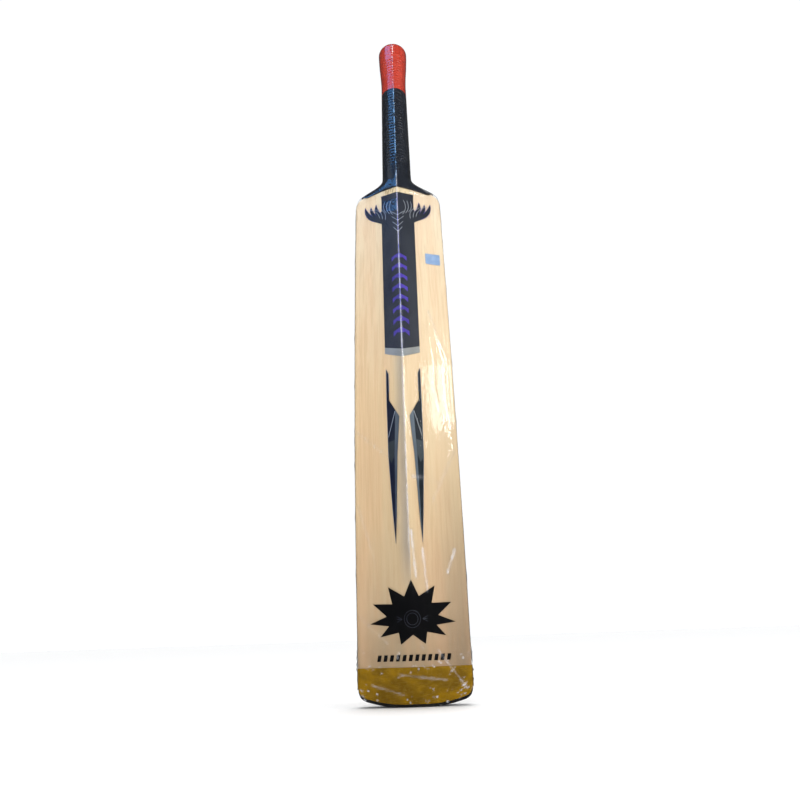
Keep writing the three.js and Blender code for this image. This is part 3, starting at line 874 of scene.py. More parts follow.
    def section(self, z: np.ndarray, grow: np.ndarray | float, ring: Ring) -> np.ndarray:
        """Rows of points round the bat.

        Args:
            z: heights, one for each row or one for each point.
            grow: how far outside the wood, a number or one for each height.
            ring: the points' spread.

        Returns:
            Rows of points, one column for each of the ring's points.
        """
        columns = ring.columns()
        side = np.array([c[0] for c in columns], float)
        on_face = np.array([c[1] for c in columns])
        steps = np.array([c[2] for c in columns], float)
        share = np.minimum(steps / ring.straight, 1) ** ring.crowd
        turn = np.clip((steps - ring.straight) / ring.corner, 0, 1) * np.pi / 2
        z = np.broadcast_to(z, (len(z), len(columns)))
        grow = np.broadcast_to(grow, z.shape)
        half = self.half_width(z) + grow
        radius = self.edge_radius + grow
        inner = half - radius
        x = inner * share + radius * np.sin(turn)
        flat = inner * share
        drop = radius * (1 - np.cos(turn))
        back = self.back_at(flat, z, grow) + drop
        face = self.face_line(z) + grow - self.face_crown * (flat / half) ** 2 - drop
        y = np.where(on_face, face, back)
        x, y = self.to_oval(x, y, z, grow)
        return np.stack([x * side, y, z], axis=-1)

    def on_back(self, x: np.ndarray, z: np.ndarray, grow: float) -> np.ndarray:
        """Points on the back at x and z, grown outwards by grow."""
        side = np.where(x < 0, -1.0, 1.0)
        out, y = self.to_oval(np.abs(x), self.back_at(np.abs(x), z, grow), z, grow)
        return np.stack([out * side, y, z], axis=-1)

    def toe_under(self, x: np.ndarray) -> np.ndarray:
        """Height of the toe's underside: a flat, a shallow arch and rounded corners."""
        beyond = np.maximum(np.abs(x) - self.toe_flat, 0)
        into = np.clip(np.abs(x) - (self.toe_width / 2 - self.toe_corner), 0, self.toe_corner)
        return self.toe_arch * beyond**2 + self.toe_corner - np.sqrt(self.toe_corner**2 - into**2)

    def rows(self, low: Callable, high: Callable, count: int, grow: Callable,
             ring: Ring) -> np.ndarray:
        """Rows of points between two edges that are laws of x.

        Args:
            low: the lower edge.
            high: the upper edge.
            count: how many rows.
            grow: how far outside the wood, a law of the share from low to high.
            ring: the points' spread.

        Returns:
            Rows of points.
        """
        share = np.linspace(0, 1, count)[:, None]
        size = grow(share)
        middle = float(np.mean(low(np.zeros(1)) + high(np.zeros(1))) / 2)
        first = self.section(np.full((count, 1), middle), size, ring)[..., 0]
        z = blend(low(first), high(first), share)
        first = self.section(z, size, ring)[..., 0]
        return self.section(blend(low(first), high(first), share), size, ring)

    def hem(self, x: np.ndarray) -> np.ndarray:
        """Height of the grip skirt's hem."""
        share = np.clip(np.abs(x) / (self.shoulder_width / 2), 0, 1.1)
        ends = smoothstep(np.abs(x), 36 * MM, 46 * MM)
        return (self.length + self.hem_above + self.hem_rise * (1 - share**2)
                + self.hem_ends * ends)

    def grip_radius(self, h: np.ndarray) -> np.ndarray:
        """The grips' outside radius at h up the handle, below the knob's rounding."""
        flare = self.handle_length - self.knob_flare
        taper = blend(self.base_radius, self.waist_radius, np.clip(h / flare, 0, 1))
        return blend(taper, self.knob_radius,
                     smoothstep(h, flare, self.handle_length - self.knob_round))

    def to_part(self, points: np.ndarray) -> np.ndarray:
        """Carries points from the handle's frame, Z up the handle, to the part's."""
        x, y, h = points[..., 0], points[..., 1], points[..., 2]
        base = float(self.axis_line(np.array(self.length)))
        lean = self.lean
        return np.stack([x, base + y * math.cos(lean) + h * math.sin(lean),
                         self.length - y * math.sin(lean) + h * math.cos(lean)], axis=-1)

    def handle_turns(self, ring: Ring) -> np.ndarray:
        """The angle round the handle of each of the ring's points."""
        top = self.section(np.array([[self.neck_top]]), 0.0, ring)[0]
        axis = float(self.axis_line(np.array(self.neck_top)))
        depth = self.neck_radius * self.oval
        return np.arctan2((top[:, 1] - axis) / depth, top[:, 0] / self.neck_radius)

    def round_handle(self, radius: np.ndarray, h: np.ndarray, turns: np.ndarray) -> np.ndarray:
        """Points round the handle's oval, at radius across, h up it and turns round it."""
        return self.to_part(np.stack([radius * np.cos(turns), self.oval * radius * np.sin(turns),
                                      h + 0 * turns], axis=-1))

    def handle_rows(self, profile: np.ndarray, ring: Ring) -> np.ndarray:
        """Rows round the handle from (radius, h) rows."""
        return self.round_handle(profile[:, :1], profile[:, 1:], self.handle_turns(ring))

    def knob_profile(self, inset: float, step: float, start: float) -> np.ndarray:
        """(radius, h) rows from start to the knob's end, inset below the grips' outside."""
        side_end = self.handle_length - self.knob_round
        h = np.arange(start, side_end, step)
        turn = np.linspace(0, np.pi / 2, 12)
        arc = self.knob_round - inset
        end = np.stack([self.knob_radius - self.knob_round + arc * np.cos(turn),
                        side_end + arc * np.sin(turn)], axis=-1)
        return np.concatenate([np.stack([self.grip_radius(h) - inset, h], axis=-1), end])


JOIN_START = 0.62  # where the neck's rows start to follow the handle, as a share of their end


def rows_over_neck(form: BatForm, low: Callable, grow: Callable, inset: float, ring: Ring,
                   count: int, end: float) -> np.ndarray:
    """Rows over the neck that leave the blade's form and join the handle's.

    Args:
        form: the bat's form.
        low: the lower edge, a law of x.
        grow: how far outside the wood, a law of the height and x.
        inset: the same below the grips' outside.
        ring: the points' spread.
        count: how many rows.
        end: where the rows end, up the handle.

    Returns:
        Rows of points.
    """
    share = np.linspace(0, 1, count)[:, None]
    top = form.length + end
    start = form.section(np.full((1, 1), form.length), 0.0, ring)[..., 0]
    for _ in range(6):
        z = blend(low(start), top, share)
        start = (start + form.section(z[:1], 0.0, ring)[..., 0]) / 2
    z = np.minimum(z, form.neck_top)
    below = form.section(z, grow(z, form.section(z, 0.0, ring)[..., 0]), ring)
    h = blend(low(start[0]) - form.length, end, share)
    radius = form.grip_radius(np.maximum(h, 0)) - inset
    above = form.round_handle(radius, h, form.handle_turns(ring))
    return blend(below, above, smoothstep(h, JOIN_START * end, end)[..., None])


# ---- Sub-assemblies ----


class SubAssembly:
    """Pieces made together. Each is fixed to the bat, hides the CAD nodes that it stands for, and
    is logged with its finish.
    """

    def keep(self, piece: bpy.types.Object, finish: Finish, *nodes: str) -> None:
        """Fixes piece to the bat.

        Args:
            piece: the finished piece.
            finish: its finish.
            nodes: the CAD nodes that it stands for.
        """
        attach(piece, "root")
        if nodes:
            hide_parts(*nodes)
        log.info("%s: %d faces, %s", piece.name, len(piece.data.polygons), finish.name)


@dataclass
class Blade(SubAssembly):
    """The willow blade with the V of its splice cut out, and what protects its toe."""

    form: BatForm
    ring: Ring = Ring(34, 5)
    row_step: float = 3.2 * MM
    glue: float = 0.3 * MM  # clearance between glued pieces
    guard: float = 2.5 * MM
    tape: float = 0.3 * MM
    band_top: float = 35 * MM
    wood_above: float = 34 * MM
    toe_top: float = 40 * MM  # the toe's arched rows become level here
    toe_rows: int = 16
    neck_rows: int = 30
    band_rows: int = 14
    guard_rows: int = 8
    toe_bevel: float = 0.5 * MM
    guard_bevel: float = 0.8 * MM

    def toe_edge(self, lift: float) -> Callable:
        """The toe's underside raised by lift, as a law of x."""
        return lambda x: self.form.toe_under(x) + lift

    def closed_tube(self, name: str, rows: np.ndarray, finish: Finish) -> bpy.types.Object:
        """A solid through rows, closed across its first and last."""
        faces = ring_faces(len(rows), rows.shape[1]) + self.ring.cap_faces(0, False)
        faces += self.ring.cap_faces((len(rows) - 1) * rows.shape[1], True)
        return make_object(name, rows, faces, finish)

    def solid(self, name: str) -> bpy.types.Object:
        """The blade with nothing cut out of it."""
        form = self.form
        toe = form.rows(self.toe_edge(self.guard + self.glue), level(self.toe_top), self.toe_rows,
                        lambda share: -self.toe_bevel * np.clip(1 - share * 15, 0, 1), self.ring)
        count = int((form.corner_height - self.toe_top) / self.row_step)
        body = np.linspace(self.toe_top, form.corner_height, count)[1:, None]
        end = form.length + self.wood_above
        neck = np.linspace(form.corner_height, end, self.neck_rows)[1:, None]
        rows = np.concatenate([toe, form.section(np.concatenate([body, neck]), 0.0, self.ring)])
        return self.closed_tube(name, rows, WILLOW)

    def splice_tool(self) -> bpy.types.Object:
        """A block of the splice's V, with the glue's clearance, through the blade."""
        form = self.form
        half = form.cane_radius + self.glue
        tip = -form.splice * half / form.cane_radius
        reach = 0.2
        outline = [(0, tip), (half, 0), (half, reach), (-half, reach), (-half, 0)]
        points = [form.to_part(np.array([x, y, h])) for y in (-reach, reach) for x, h in outline]
        count = len(outline)
        faces = [tuple(range(count)), tuple(range(2 * count - 1, count - 1, -1))]
        faces += [(i, count + i, count + (i + 1) % count, (i + 1) % count) for i in range(count)]
        return make_object("splice_tool", np.array(points), faces, WILLOW)

    def build_willow(self) -> None:
        """Makes the blade."""
        blade = self.solid("willow_blade")
        recut(blade, self.splice_tool(), "DIFFERENCE")
        blade.data.polygons.foreach_set("material_index", [0] * len(blade.data.polygons))
        finish_mesh(blade.data, CRISP_WOOD)
        self.keep(blade, WILLOW, "blade")

    def build_guard(self) -> None:
        """Makes the rubber toe guard, with its lower edges rounded."""
        rows = self.form.rows(
            self.toe_edge(0), self.toe_edge(self.guard), self.guard_rows,
            lambda share: -self.guard_bevel * (1 - np.clip(share * 2.2, 0, 1)) ** 2, self.ring)
        guard = self.closed_tube("rubber_toe_guard", rows, GUARD_RUBBER)
        self.keep(guard, GUARD_RUBBER, "toe_guard")

    def build_band(self) -> None:
        """Makes the mustard tape round the toe."""
        low, top = self.toe_edge(self.guard + self.glue), level(self.band_top)
        outer, inner = (self.form.rows(low, top, self.band_rows, level(lift), self.ring)
                        for lift in (self.glue + self.tape, self.glue))
        self.keep(shell("mustard_toe_band", outer, inner, MUSTARD), MUSTARD, "toe_band")


@dataclass
class Handle(SubAssembly):
    """The cane handle with its rubber inserts, twine binding and two ribbed grips."""

    form: BatForm
    ring: Ring = Ring(16, 4, 1.0)
    rib_pitch: float = 5 * MM
    rib_depth: float = 0.8 * MM
    wall: float = 1.5 * MM
    glue: float = 0.3 * MM
    binding: float = 0.9 * MM
    upper_grip: float = 93 * MM
    neck_end: float = 56 * MM  # up the handle, where the skirt has become a sleeve
    row_step: float = 0.62 * MM
    skirt_rows: int = 44
    wood_above: float = 34 * MM
    cap: float = 27 * MM  # the smooth end of the red grip, with a step under it
    cap_step: float = 1.1 * MM
    groove: float = 0.22  # half a groove's width, as a share of the pitch
    thread_corners: int = 22  # in each turn of the twine
    thread_facets: int = 5
    thread_radius: float = 0.48  # as a share of the binding's pitch
    coarser: tuple[int, int] = (6, 4)  # the inner walls' rows are so many times farther apart
    rib_skin: tuple[float, float] = (-0.9 * MM, -0.3 * MM)  # ribs only cut this near the outside

    def dress_cane(self, nodes: dict[str, bpy.types.Object]) -> None:
        """Gives the sawn cane strips and the rubber between them their finishes."""
        for name, node in nodes.items():
            finish = CANE if name.startswith("cane_") else INSERT if "insert" in name else None
            if finish:
                for slot in node.material_slots:
                    slot.material = finish.material()
                log.info("%s: %s", name, finish.name)

    def rib(self, grip: bpy.types.Object, rib_share: Callable, tool: NodeTool) -> None:
        """Stores the heights that the rib tool reads, and runs it."""
        form = self.form
        points = np.array([v.co for v in grip.data.vertices])
        base = np.array([0, float(form.axis_line(np.array(form.length))), form.length])
        axis = np.array([0, math.sin(form.lean), math.cos(form.lean)])
        local = points - base
        h = local @ axis
        across = np.cross(axis, [1, 0, 0])
        radius = np.hypot(local[:, 0], (local @ across) / form.oval)
        outside = smoothstep(radius - form.grip_radius(h), *self.rib_skin)
        store(grip, "up_handle", h)
        store(grip, "ribbed", outside * rib_share(h))
        tool.run(grip, CRISP_GRIP, Pitch=self.rib_pitch, Depth=self.rib_depth, Groove=self.groove)

    def build_lower_grip(self, tool: NodeTool) -> None:
        """Makes the black grip, from the skirt over the shoulders to the red one."""
        form = self.form
        top = form.handle_length - self.upper_grip
        walls = []
        for grow, inset, step in ((self.glue + self.wall, 0.0, self.row_step),
                                  (self.glue, self.wall, self.coarser[0] * self.row_step)):
            skirt = rows_over_neck(form, form.hem, lambda z, x, g=grow: g + 0 * z, inset,
                                   self.ring, self.skirt_rows, self.neck_end)
            h = np.append(np.arange(self.neck_end + step, top, step), top)
            profile = np.stack([form.grip_radius(h) - inset, h], axis=-1)
            walls.append(np.concatenate([skirt, form.handle_rows(profile, self.ring)]))
        grip = shell("black_lower_grip", walls[0], walls[1], BLACK_RUBBER, CRISP_GRIP)
        fade = lambda h: smoothstep(h, 0.030, 0.075) * (1 - smoothstep(h, top - 0.003, top - 0.001))
        self.rib(grip, fade, tool)
        self.keep(grip, BLACK_RUBBER, "grip_lower")

    def build_upper_grip(self, tool: NodeTool) -> None:
        """Makes the red grip over the knob, ribbed below a smooth cap."""
        form = self.form
        start = form.handle_length - self.upper_grip + self.glue
        outer = form.knob_profile(0.0, self.row_step, start)
        inner = form.knob_profile(self.wall, self.coarser[1] * self.row_step, start)
        cap = form.handle_length - self.cap
        outer[:, 0] -= self.cap_step * np.exp(-(((outer[:, 1] - cap) / (0.9 * MM)) ** 2))
        grip = shell("red_upper_grip", form.handle_rows(outer, self.ring),
                     form.handle_rows(inner, self.ring), RED_RUBBER, CRISP_GRIP)
        share = lambda h: smoothstep(h, start + 0.002, start + 0.006) * (
            1 - smoothstep(h, cap - 0.008, cap - 0.004)) * 0.8
        self.rib(grip, share, tool)
        self.keep(grip, RED_RUBBER, "grip_upper")

    def build_binding(self, tool: NodeTool) -> None:
        """Winds one long thread round the cane, under the grips."""
        form = self.form
        start = (self.wood_above / math.cos(form.lean) + form.neck_radius * math.tan(form.lean)
                 + self.binding)
        end = form.handle_length - form.knob_round - self.binding
        turns = (end - start) / self.binding
        share = np.linspace(0, 1, int(turns * self.thread_corners))
        h = start + share * (end - start)
        angle = 2 * np.pi * turns * share
        radius = form.grip_radius(h) - self.wall - self.glue - self.binding / 2
        thread = line_object("twine_winding", [form.round_handle(radius, h, angle)], TWINE)
        tool.run(thread, CRISP_ROUND, Radius=self.thread_radius * self.binding,
                 Facets=self.thread_facets)
        self.keep(thread, TWINE, "twine_binding")


def line_object(name: str, paths: list[np.ndarray], finish: Finish) -> bpy.types.Object:
    """An object whose mesh is only the edges along each of paths."""
    edges, start = [], 0
    for path in paths:
        edges += [(start + i, start + i + 1) for i in range(len(path) - 1)]
        start += len(path)
    mesh = bpy.data.meshes.new(name)
    mesh.from_pydata(np.concatenate(paths).tolist(), edges, [])
    return place_mesh(mesh, finish)


def mirrored(points: Points) -> Points:
    """The same outline on the other side of the spine."""
    return [(-x, z) for x, z in reversed(points)]


def arc(start: tuple[float, float], end: tuple[float, float], bulge: float,
        count: int = 9) -> Points:
    """Points along a bow from start to end, which stands off the straight line by bulge of it."""
    a, b = np.array(start), np.array(end)
    across = np.array([-(b - a)[1], (b - a)[0]]) * bulge
    shares = np.linspace(0, 1, count)
    return [tuple(a + (b - a) * t + across * 4 * t * (1 - t)) for t in shares]


@dataclass
class Stickers(SubAssembly):
    """Everything printed and stuck on the back of the blade."""

    form: BatForm
    glue: float = 0.3 * MM
    vinyl: float = 0.3 * MM
    layer: float = 0.06 * MM  # ink and foil on top of the vinyl
    grid: tuple[float, float] = (2.0 * MM, 3.0 * MM)  # a plate's cuts across and up
    line_facets: int = 6
    label_half: float = 19.5 * MM
    label_length: float = 235 * MM
    label_foot: float = 9 * MM
    wing_tip: float = 40 * MM
    emblem: tuple[float, float] = (82 * MM, 58 * MM)
    emblem_base: float = 54 * MM

    @property
    def label_top(self) -> float:
        """Height of the label's straight upper edge."""
        return float(self.form.hem(np.zeros(1))[0]) - 9 * MM

    def plate(self, name: str, outlines: list[Points], finish: Finish, low: float,
              high: float) -> bpy.types.Object:
        """A thin plate on the back of the blade, cut to outlines.

        Args:
            name: the object's name.
            outlines: (x, z) outlines in metres, none of which overlap.
            finish: what it is made of.
            low: its underside above the wood.
            high: its top above the wood.

        Returns:
            The plate.
        """
        made = self.cut_flat(outlines, self.grid)
        flat = np.array([v.co for v in made.verts])
        top = self.form.on_back(flat[:, 0], flat[:, 2], high)
        under = self.form.on_back(flat[:, 0], flat[:, 2], low)
        count = len(flat)
        faces = [tuple(v.index for v in f.verts) for f in made.faces]
        rim = []
        for edge in made.edges:
            if edge.is_boundary:
                loop = edge.link_loops[0]
                a, b = loop.vert.index, loop.link_loop_next.vert.index
                rim.append((b, a, a + count, b + count))
        below = [tuple(i + count for i in reversed(f)) for f in faces]
        made.free()
        faces += below + rim
        return make_object(name, np.concatenate([top, under]), faces, finish, CRISP_PRINT)

    def cut_flat(self, outlines: list[Points], grid: tuple[float, ...]) -> bmesh.types.BMesh:
        """Flat faces inside outlines, facing backwards.

        Args:
            outlines: (x, z) outlines in metres.
            grid: how far apart they are cut to bend: across, then up if it's given.

        Returns:
            The faces, at y = 0.
        """
        made = bmesh.new()
        for outline in outlines:
            made.faces.new([made.verts.new((x, 0, z)) for x, z in outline]).normal_update()
        bmesh.ops.triangulate(made, faces=made.faces[:], ngon_method="EAR_CLIP")
        corners = np.array([v.co for v in made.verts])
        for axis, step in zip((0, 2), grid):
            normal = Vector((axis == 0, 0, axis == 2))
            for place in self.steps(corners[:, axis].min(), corners[:, axis].max(), step):
                everything = made.verts[:] + made.edges[:] + made.faces[:]
                bmesh.ops.bisect_plane(made, geom=everything, dist=1e-7,
                                       plane_co=normal * place, plane_no=normal)
        bmesh.ops.remove_doubles(made, verts=made.verts[:], dist=1e-6)
        for piece in made.faces:
            piece.normal_update()
            if piece.normal.y > 0:
                piece.normal_flip()
        made.verts.index_update()
        return made

    @staticmethod
    def steps(low: float, high: float, step: float) -> list[float]:
        """Multiples of step between low and high, and 0 and its near sides if they lie there."""
        places = {i * step for i in range(math.ceil(low / step), math.floor(high / step) + 1)}
        places |= {x for x in (-0.4 * MM, 0.4 * MM, -1 * MM, 1 * MM) if low < x < high}
        return sorted(places)

    def stick(self, name: str, outlines: list[Points], finish: Finish, *nodes: str) -> None:
        """Makes and keeps a plate of vinyl straight on the wood."""
        piece = self.plate(name, outlines, finish, self.glue, self.glue + self.vinyl)
        self.keep(piece, finish, *nodes)

    def print_on(self, name: str, outlines: list[Points], finish: Finish) -> None:
        """Makes and keeps a printed layer on top of the vinyl."""
        low = self.glue + self.vinyl
        self.keep(self.plate(name, outlines, finish, low, low + self.layer), finish)

    def draw(self, name: str, paths: list[Points], finish: Finish, radius: float,
             tool: NodeTool) -> None:
        """Draws raised lines along (x, z) paths, half sunk in the vinyl."""
        fine = [self.refine(path) for path in paths]
        lift = self.glue + self.vinyl
        line = line_object(name, [self.form.on_back(*path.T, lift) for path in fine], finish)
        tool.run(line, CRISP_ROUND, Radius=radius, Facets=self.line_facets)
        self.keep(line, finish)

    @staticmethod
    def refine(path: Points, step: float = 1.2 * MM) -> np.ndarray:
        """The same path with points about step apart."""
        corners = np.array(path)
        lengths = np.linalg.norm(np.diff(corners, axis=0), axis=1)
        pieces = [corners[:1]]
        for a, b, length in zip(corners, corners[1:], lengths):
            shares = np.linspace(0, 1, max(2, math.ceil(length / step) + 1))[1:, None]
            pieces.append(a + (b - a) * shares)
        return np.concatenate(pieces)

    def wing(self) -> Points:
        """The label's right side above its foot, with three swept feathers at its head."""
        half, top, tip = self.label_half, self.label_top, self.wing_tip
        at = lambda out, down: (blend(half, tip, out), top - down * MM)
        outline = [at(0, 45), at(0.22, 41.5), *arc(at(0.42, 38.5), at(1, 11.5), -0.16)]
        for start, end, bulge in (((1, 11.5), (0.55, 29), 0.04), ((0.55, 29), (0.64, 13), -0.12),
                                  ((0.64, 13), (0.33, 29), 0.04), ((0.33, 29), (0.32, 11), -0.10),
                                  ((0.32, 11), (0.08, 27), 0.04)):
            outline += arc(at(*start), at(*end), bulge)[1:]
        return [*outline, at(0, 25), at(0, 0)]

    def build_label(self, lines: NodeTool, row: NodeTool, surface: bpy.types.Object) -> None:
        """Makes the long label with its wings, silver foot, feather lines and chevrons."""
        top, half = self.label_top, self.label_half
        foot = top - self.label_length
        edge, point = foot + self.label_foot + 7.5 * MM, foot + 9 * MM
        narrow = half - 0.8 * MM
        right = [(narrow, edge), *self.wing()]
        black = [(0, point), *right, *mirrored(right)]
        self.stick("back_label_black", [black], BLACK_PRINT, "back_label")
        silver = [(0, foot), (narrow, foot + self.label_foot), (narrow, edge), (0, point),
                  (-narrow, edge), (-narrow, foot + self.label_foot)]
        self.stick("back_label_foot", [silver], SILVER_FOIL)
        self.build_feathers(lines)
        chevron = [(0, 0), (8.5 * MM, -3.5 * MM), (8.5 * MM, -9.5 * MM), (4.2 * MM, -5.5 * MM),
                   (0, -7.5 * MM), (-4.2 * MM, -5.5 * MM), (-8.5 * MM, -9.5 * MM),
                   (-8.5 * MM, -3.5 * MM)]
        first = top - 98 * MM
        mark = self.flat_mark("label_chevrons", [(x, z + first) for x, z in chevron], VIOLET_INK)
        row.run(mark, CRISP_PRINT, Count=8, Step=(0, 0, -14.4 * MM), Surface=surface,
                Lift=self.glue + self.vinyl)
        self.keep(mark, VIOLET_INK)

    def flat_mark(self, name: str, outline: Points, finish: Finish) -> bpy.types.Object:
        """A small flat mark of ink, with enough points to bend over the spine."""
        made = self.cut_flat([outline], self.grid[:1])
        solid = bmesh.ops.extrude_face_region(made, geom=made.faces[:])
        moved = [v for v in solid["geom"] if isinstance(v, bmesh.types.BMVert)]
        bmesh.ops.translate(made, verts=moved, vec=(0, -self.layer, 0))
        bmesh.ops.recalc_face_normals(made, faces=made.faces[:])
        mesh = bpy.data.meshes.new(name)
        made.to_mesh(mesh)
        made.free()
        return place_mesh(mesh, finish)

    def build_feathers(self, lines: NodeTool) -> None:
        """Draws the swept feather lines at the label's head, the wings' edges, and a bright line
        down the spine that is a painted highlight.
        """
        top = self.label_top
        at = lambda x, down: (x * MM, top - down * MM)
        right = [arc(at(15 + 3.5 * i, 40 - 2.5 * i), at(22 + 7 * i, 20 - 2 * i), 0.14)
                 for i in range(3)]
        right += [arc(at(6 + 3.6 * i, 36 - 3 * i), at(7.5 + 4.2 * i, 12), -0.12) for i in range(3)]
        right += [[at(0, 21 + 9 * i), at(10 - i, 12 + 9 * i)] for i in range(2, 6)]
        left = [mirrored(path) for path in right]
        self.draw("label_feather_lines", right + left, WHITE_LINE, 0.26 * MM, lines)
        rim = self.wing()[2:-1]
        self.draw("label_wing_edges", [rim, mirrored(rim)], BLUE_EDGE, 0.28 * MM, lines)
        # Painted highlight: a bright blue line down the spine, where the film's crease catches the
        # light.
        spine = [(0, top - 2 * MM), (0, top - self.label_length + 9 * MM)]
        self.draw("label_spine_line", [spine], SPINE_HIGHLIGHT_INK, 0.28 * MM, lines)

    def flash_parts(self) -> dict[str, Points]:
        """The right flash's facets, outer side first."""
        facets = {
            "dark": ((17.9, 327), (15.5, 321), (15.4, 291), (9.3, 279), (11.3, 231), (12.3, 172),
                     (12.8, 146), (14.6, 172), (17.6, 231), (18.0, 290)),
            "slate": ((9.3, 279), (5.2, 271), (8.4, 231), (11.0, 172), (12.5, 150), (12.3, 172),
                      (11.3, 231)),
            "shade": ((10.7, 247), (17.3, 246), (17.3, 229), (14.5, 224), (11.6, 231))}
        return {name: [(x * MM, z * MM) for x, z in facet] for name, facet in facets.items()}

    @staticmethod
    def rim_path(side: Side) -> Points:
        """The silver line down the outer edge of a flash."""
        outer = ((15.4, 300), (15.5, 321), (17.9, 327), (18.0, 290), (17.6, 231), (14.6, 172),
                 (12.8, 146))
        return [(side.value * x * MM, z * MM) for x, z in outer]

    def build_flashes(self, lines: NodeTool) -> None:
        """Makes the two long darts below the label."""
        parts = self.flash_parts()
        for side in Side:
            turned = {name: points if side is Side.RIGHT else mirrored(points)
                      for name, points in parts.items()}
            name = side.name.lower()
            self.stick(f"flash_{name}_dark", [turned["dark"]], DARK_PRINT, f"flash_{name}")
            self.stick(f"flash_{name}_slate", [turned["slate"]], SLATE_PRINT)
            self.print_on(f"flash_{name}_shade", [turned["shade"]], SHADE_PRINT)
            line = [(9.6 * MM, 277.5 * MM), (17.0 * MM, 251 * MM)]
            path = line if side is Side.RIGHT else mirrored(line)
            self.draw(f"flash_{name}_line", [path], WHITE_LINE, 0.24 * MM, lines)
            self.draw(f"flash_{name}_rim", [self.rim_path(side)], EDGE_SILVER, 0.25 * MM, lines)

    def build_emblem(self, lines: NodeTool) -> None:
        """Makes the burst above the toe, with a plain ring and bars printed on it."""
        width, height = self.emblem
        rays = 11
        centre = self.emblem_base + 0.4 * height
        outline = []
        for i in range(2 * rays):
            turn = -math.pi / 2 + math.pi * i / rays
            reach = 1 if i % 2 else 0.6
            up = 0.6 if math.sin(turn) > 0 else 0.4
            outline.append((width / 2 * reach * math.cos(turn),
                            centre + up * height * reach * math.sin(turn)))
        self.stick("toe_emblem_burst", [outline], EMBLEM_PRINT, "toe_emblem")
        around = [2 * math.pi * i / 40 for i in range(41)]
        rings = [[(r * MM * math.cos(a), centre + r * MM * math.sin(a)) for a in around]
                 for r in (5.2, 7.6)]
        spokes = [[(s * 9.5 * MM, centre), (s * 14.5 * MM, centre + rise * MM)]
                  for s in (-1, 1) for rise in (-2.5, 0, 2.5)]
        self.draw("emblem_lines", rings + spokes, GREY_PRINT, 0.25 * MM, lines)

    def build_caption(self, row: NodeTool, surface: bpy.types.Object) -> None:
        """Makes the row of plain slanted bars that stands for the caption."""
        low, high = 40.4 * MM, 46 * MM
        left, right, slant = -35 * MM, -31.6 * MM, 1.2 * MM
        bar = [(left, low), (right, low), (right + slant, high), (left + slant, high)]
        mark = self.flat_mark("caption_bars", bar, EMBLEM_PRINT)
        row.run(mark, CRISP_PRINT, Count=12, Step=(5.95 * MM, 0, 0), Surface=surface,
                Lift=self.glue)
        self.keep(mark, EMBLEM_PRINT, "caption_strip")

    def build_tag(self) -> None:
        """Makes the small price sticker, with rounded corners."""
        low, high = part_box("price_sticker")
        round_by = 1.2 * MM
        corners = []
        for x, z, start in ((high.x - round_by, low.z + round_by, -90),
                            (high.x - round_by, high.z - round_by, 0),
                            (low.x + round_by, high.z - round_by, 90),
                            (low.x + round_by, low.z + round_by, 180)):
            for step in range(4):
                turn = math.radians(start + 30 * step)
                corners.append((x + round_by * math.cos(turn), z + round_by * math.sin(turn)))
        self.stick("price_tag", [corners], PALE_PAPER, "price_sticker")


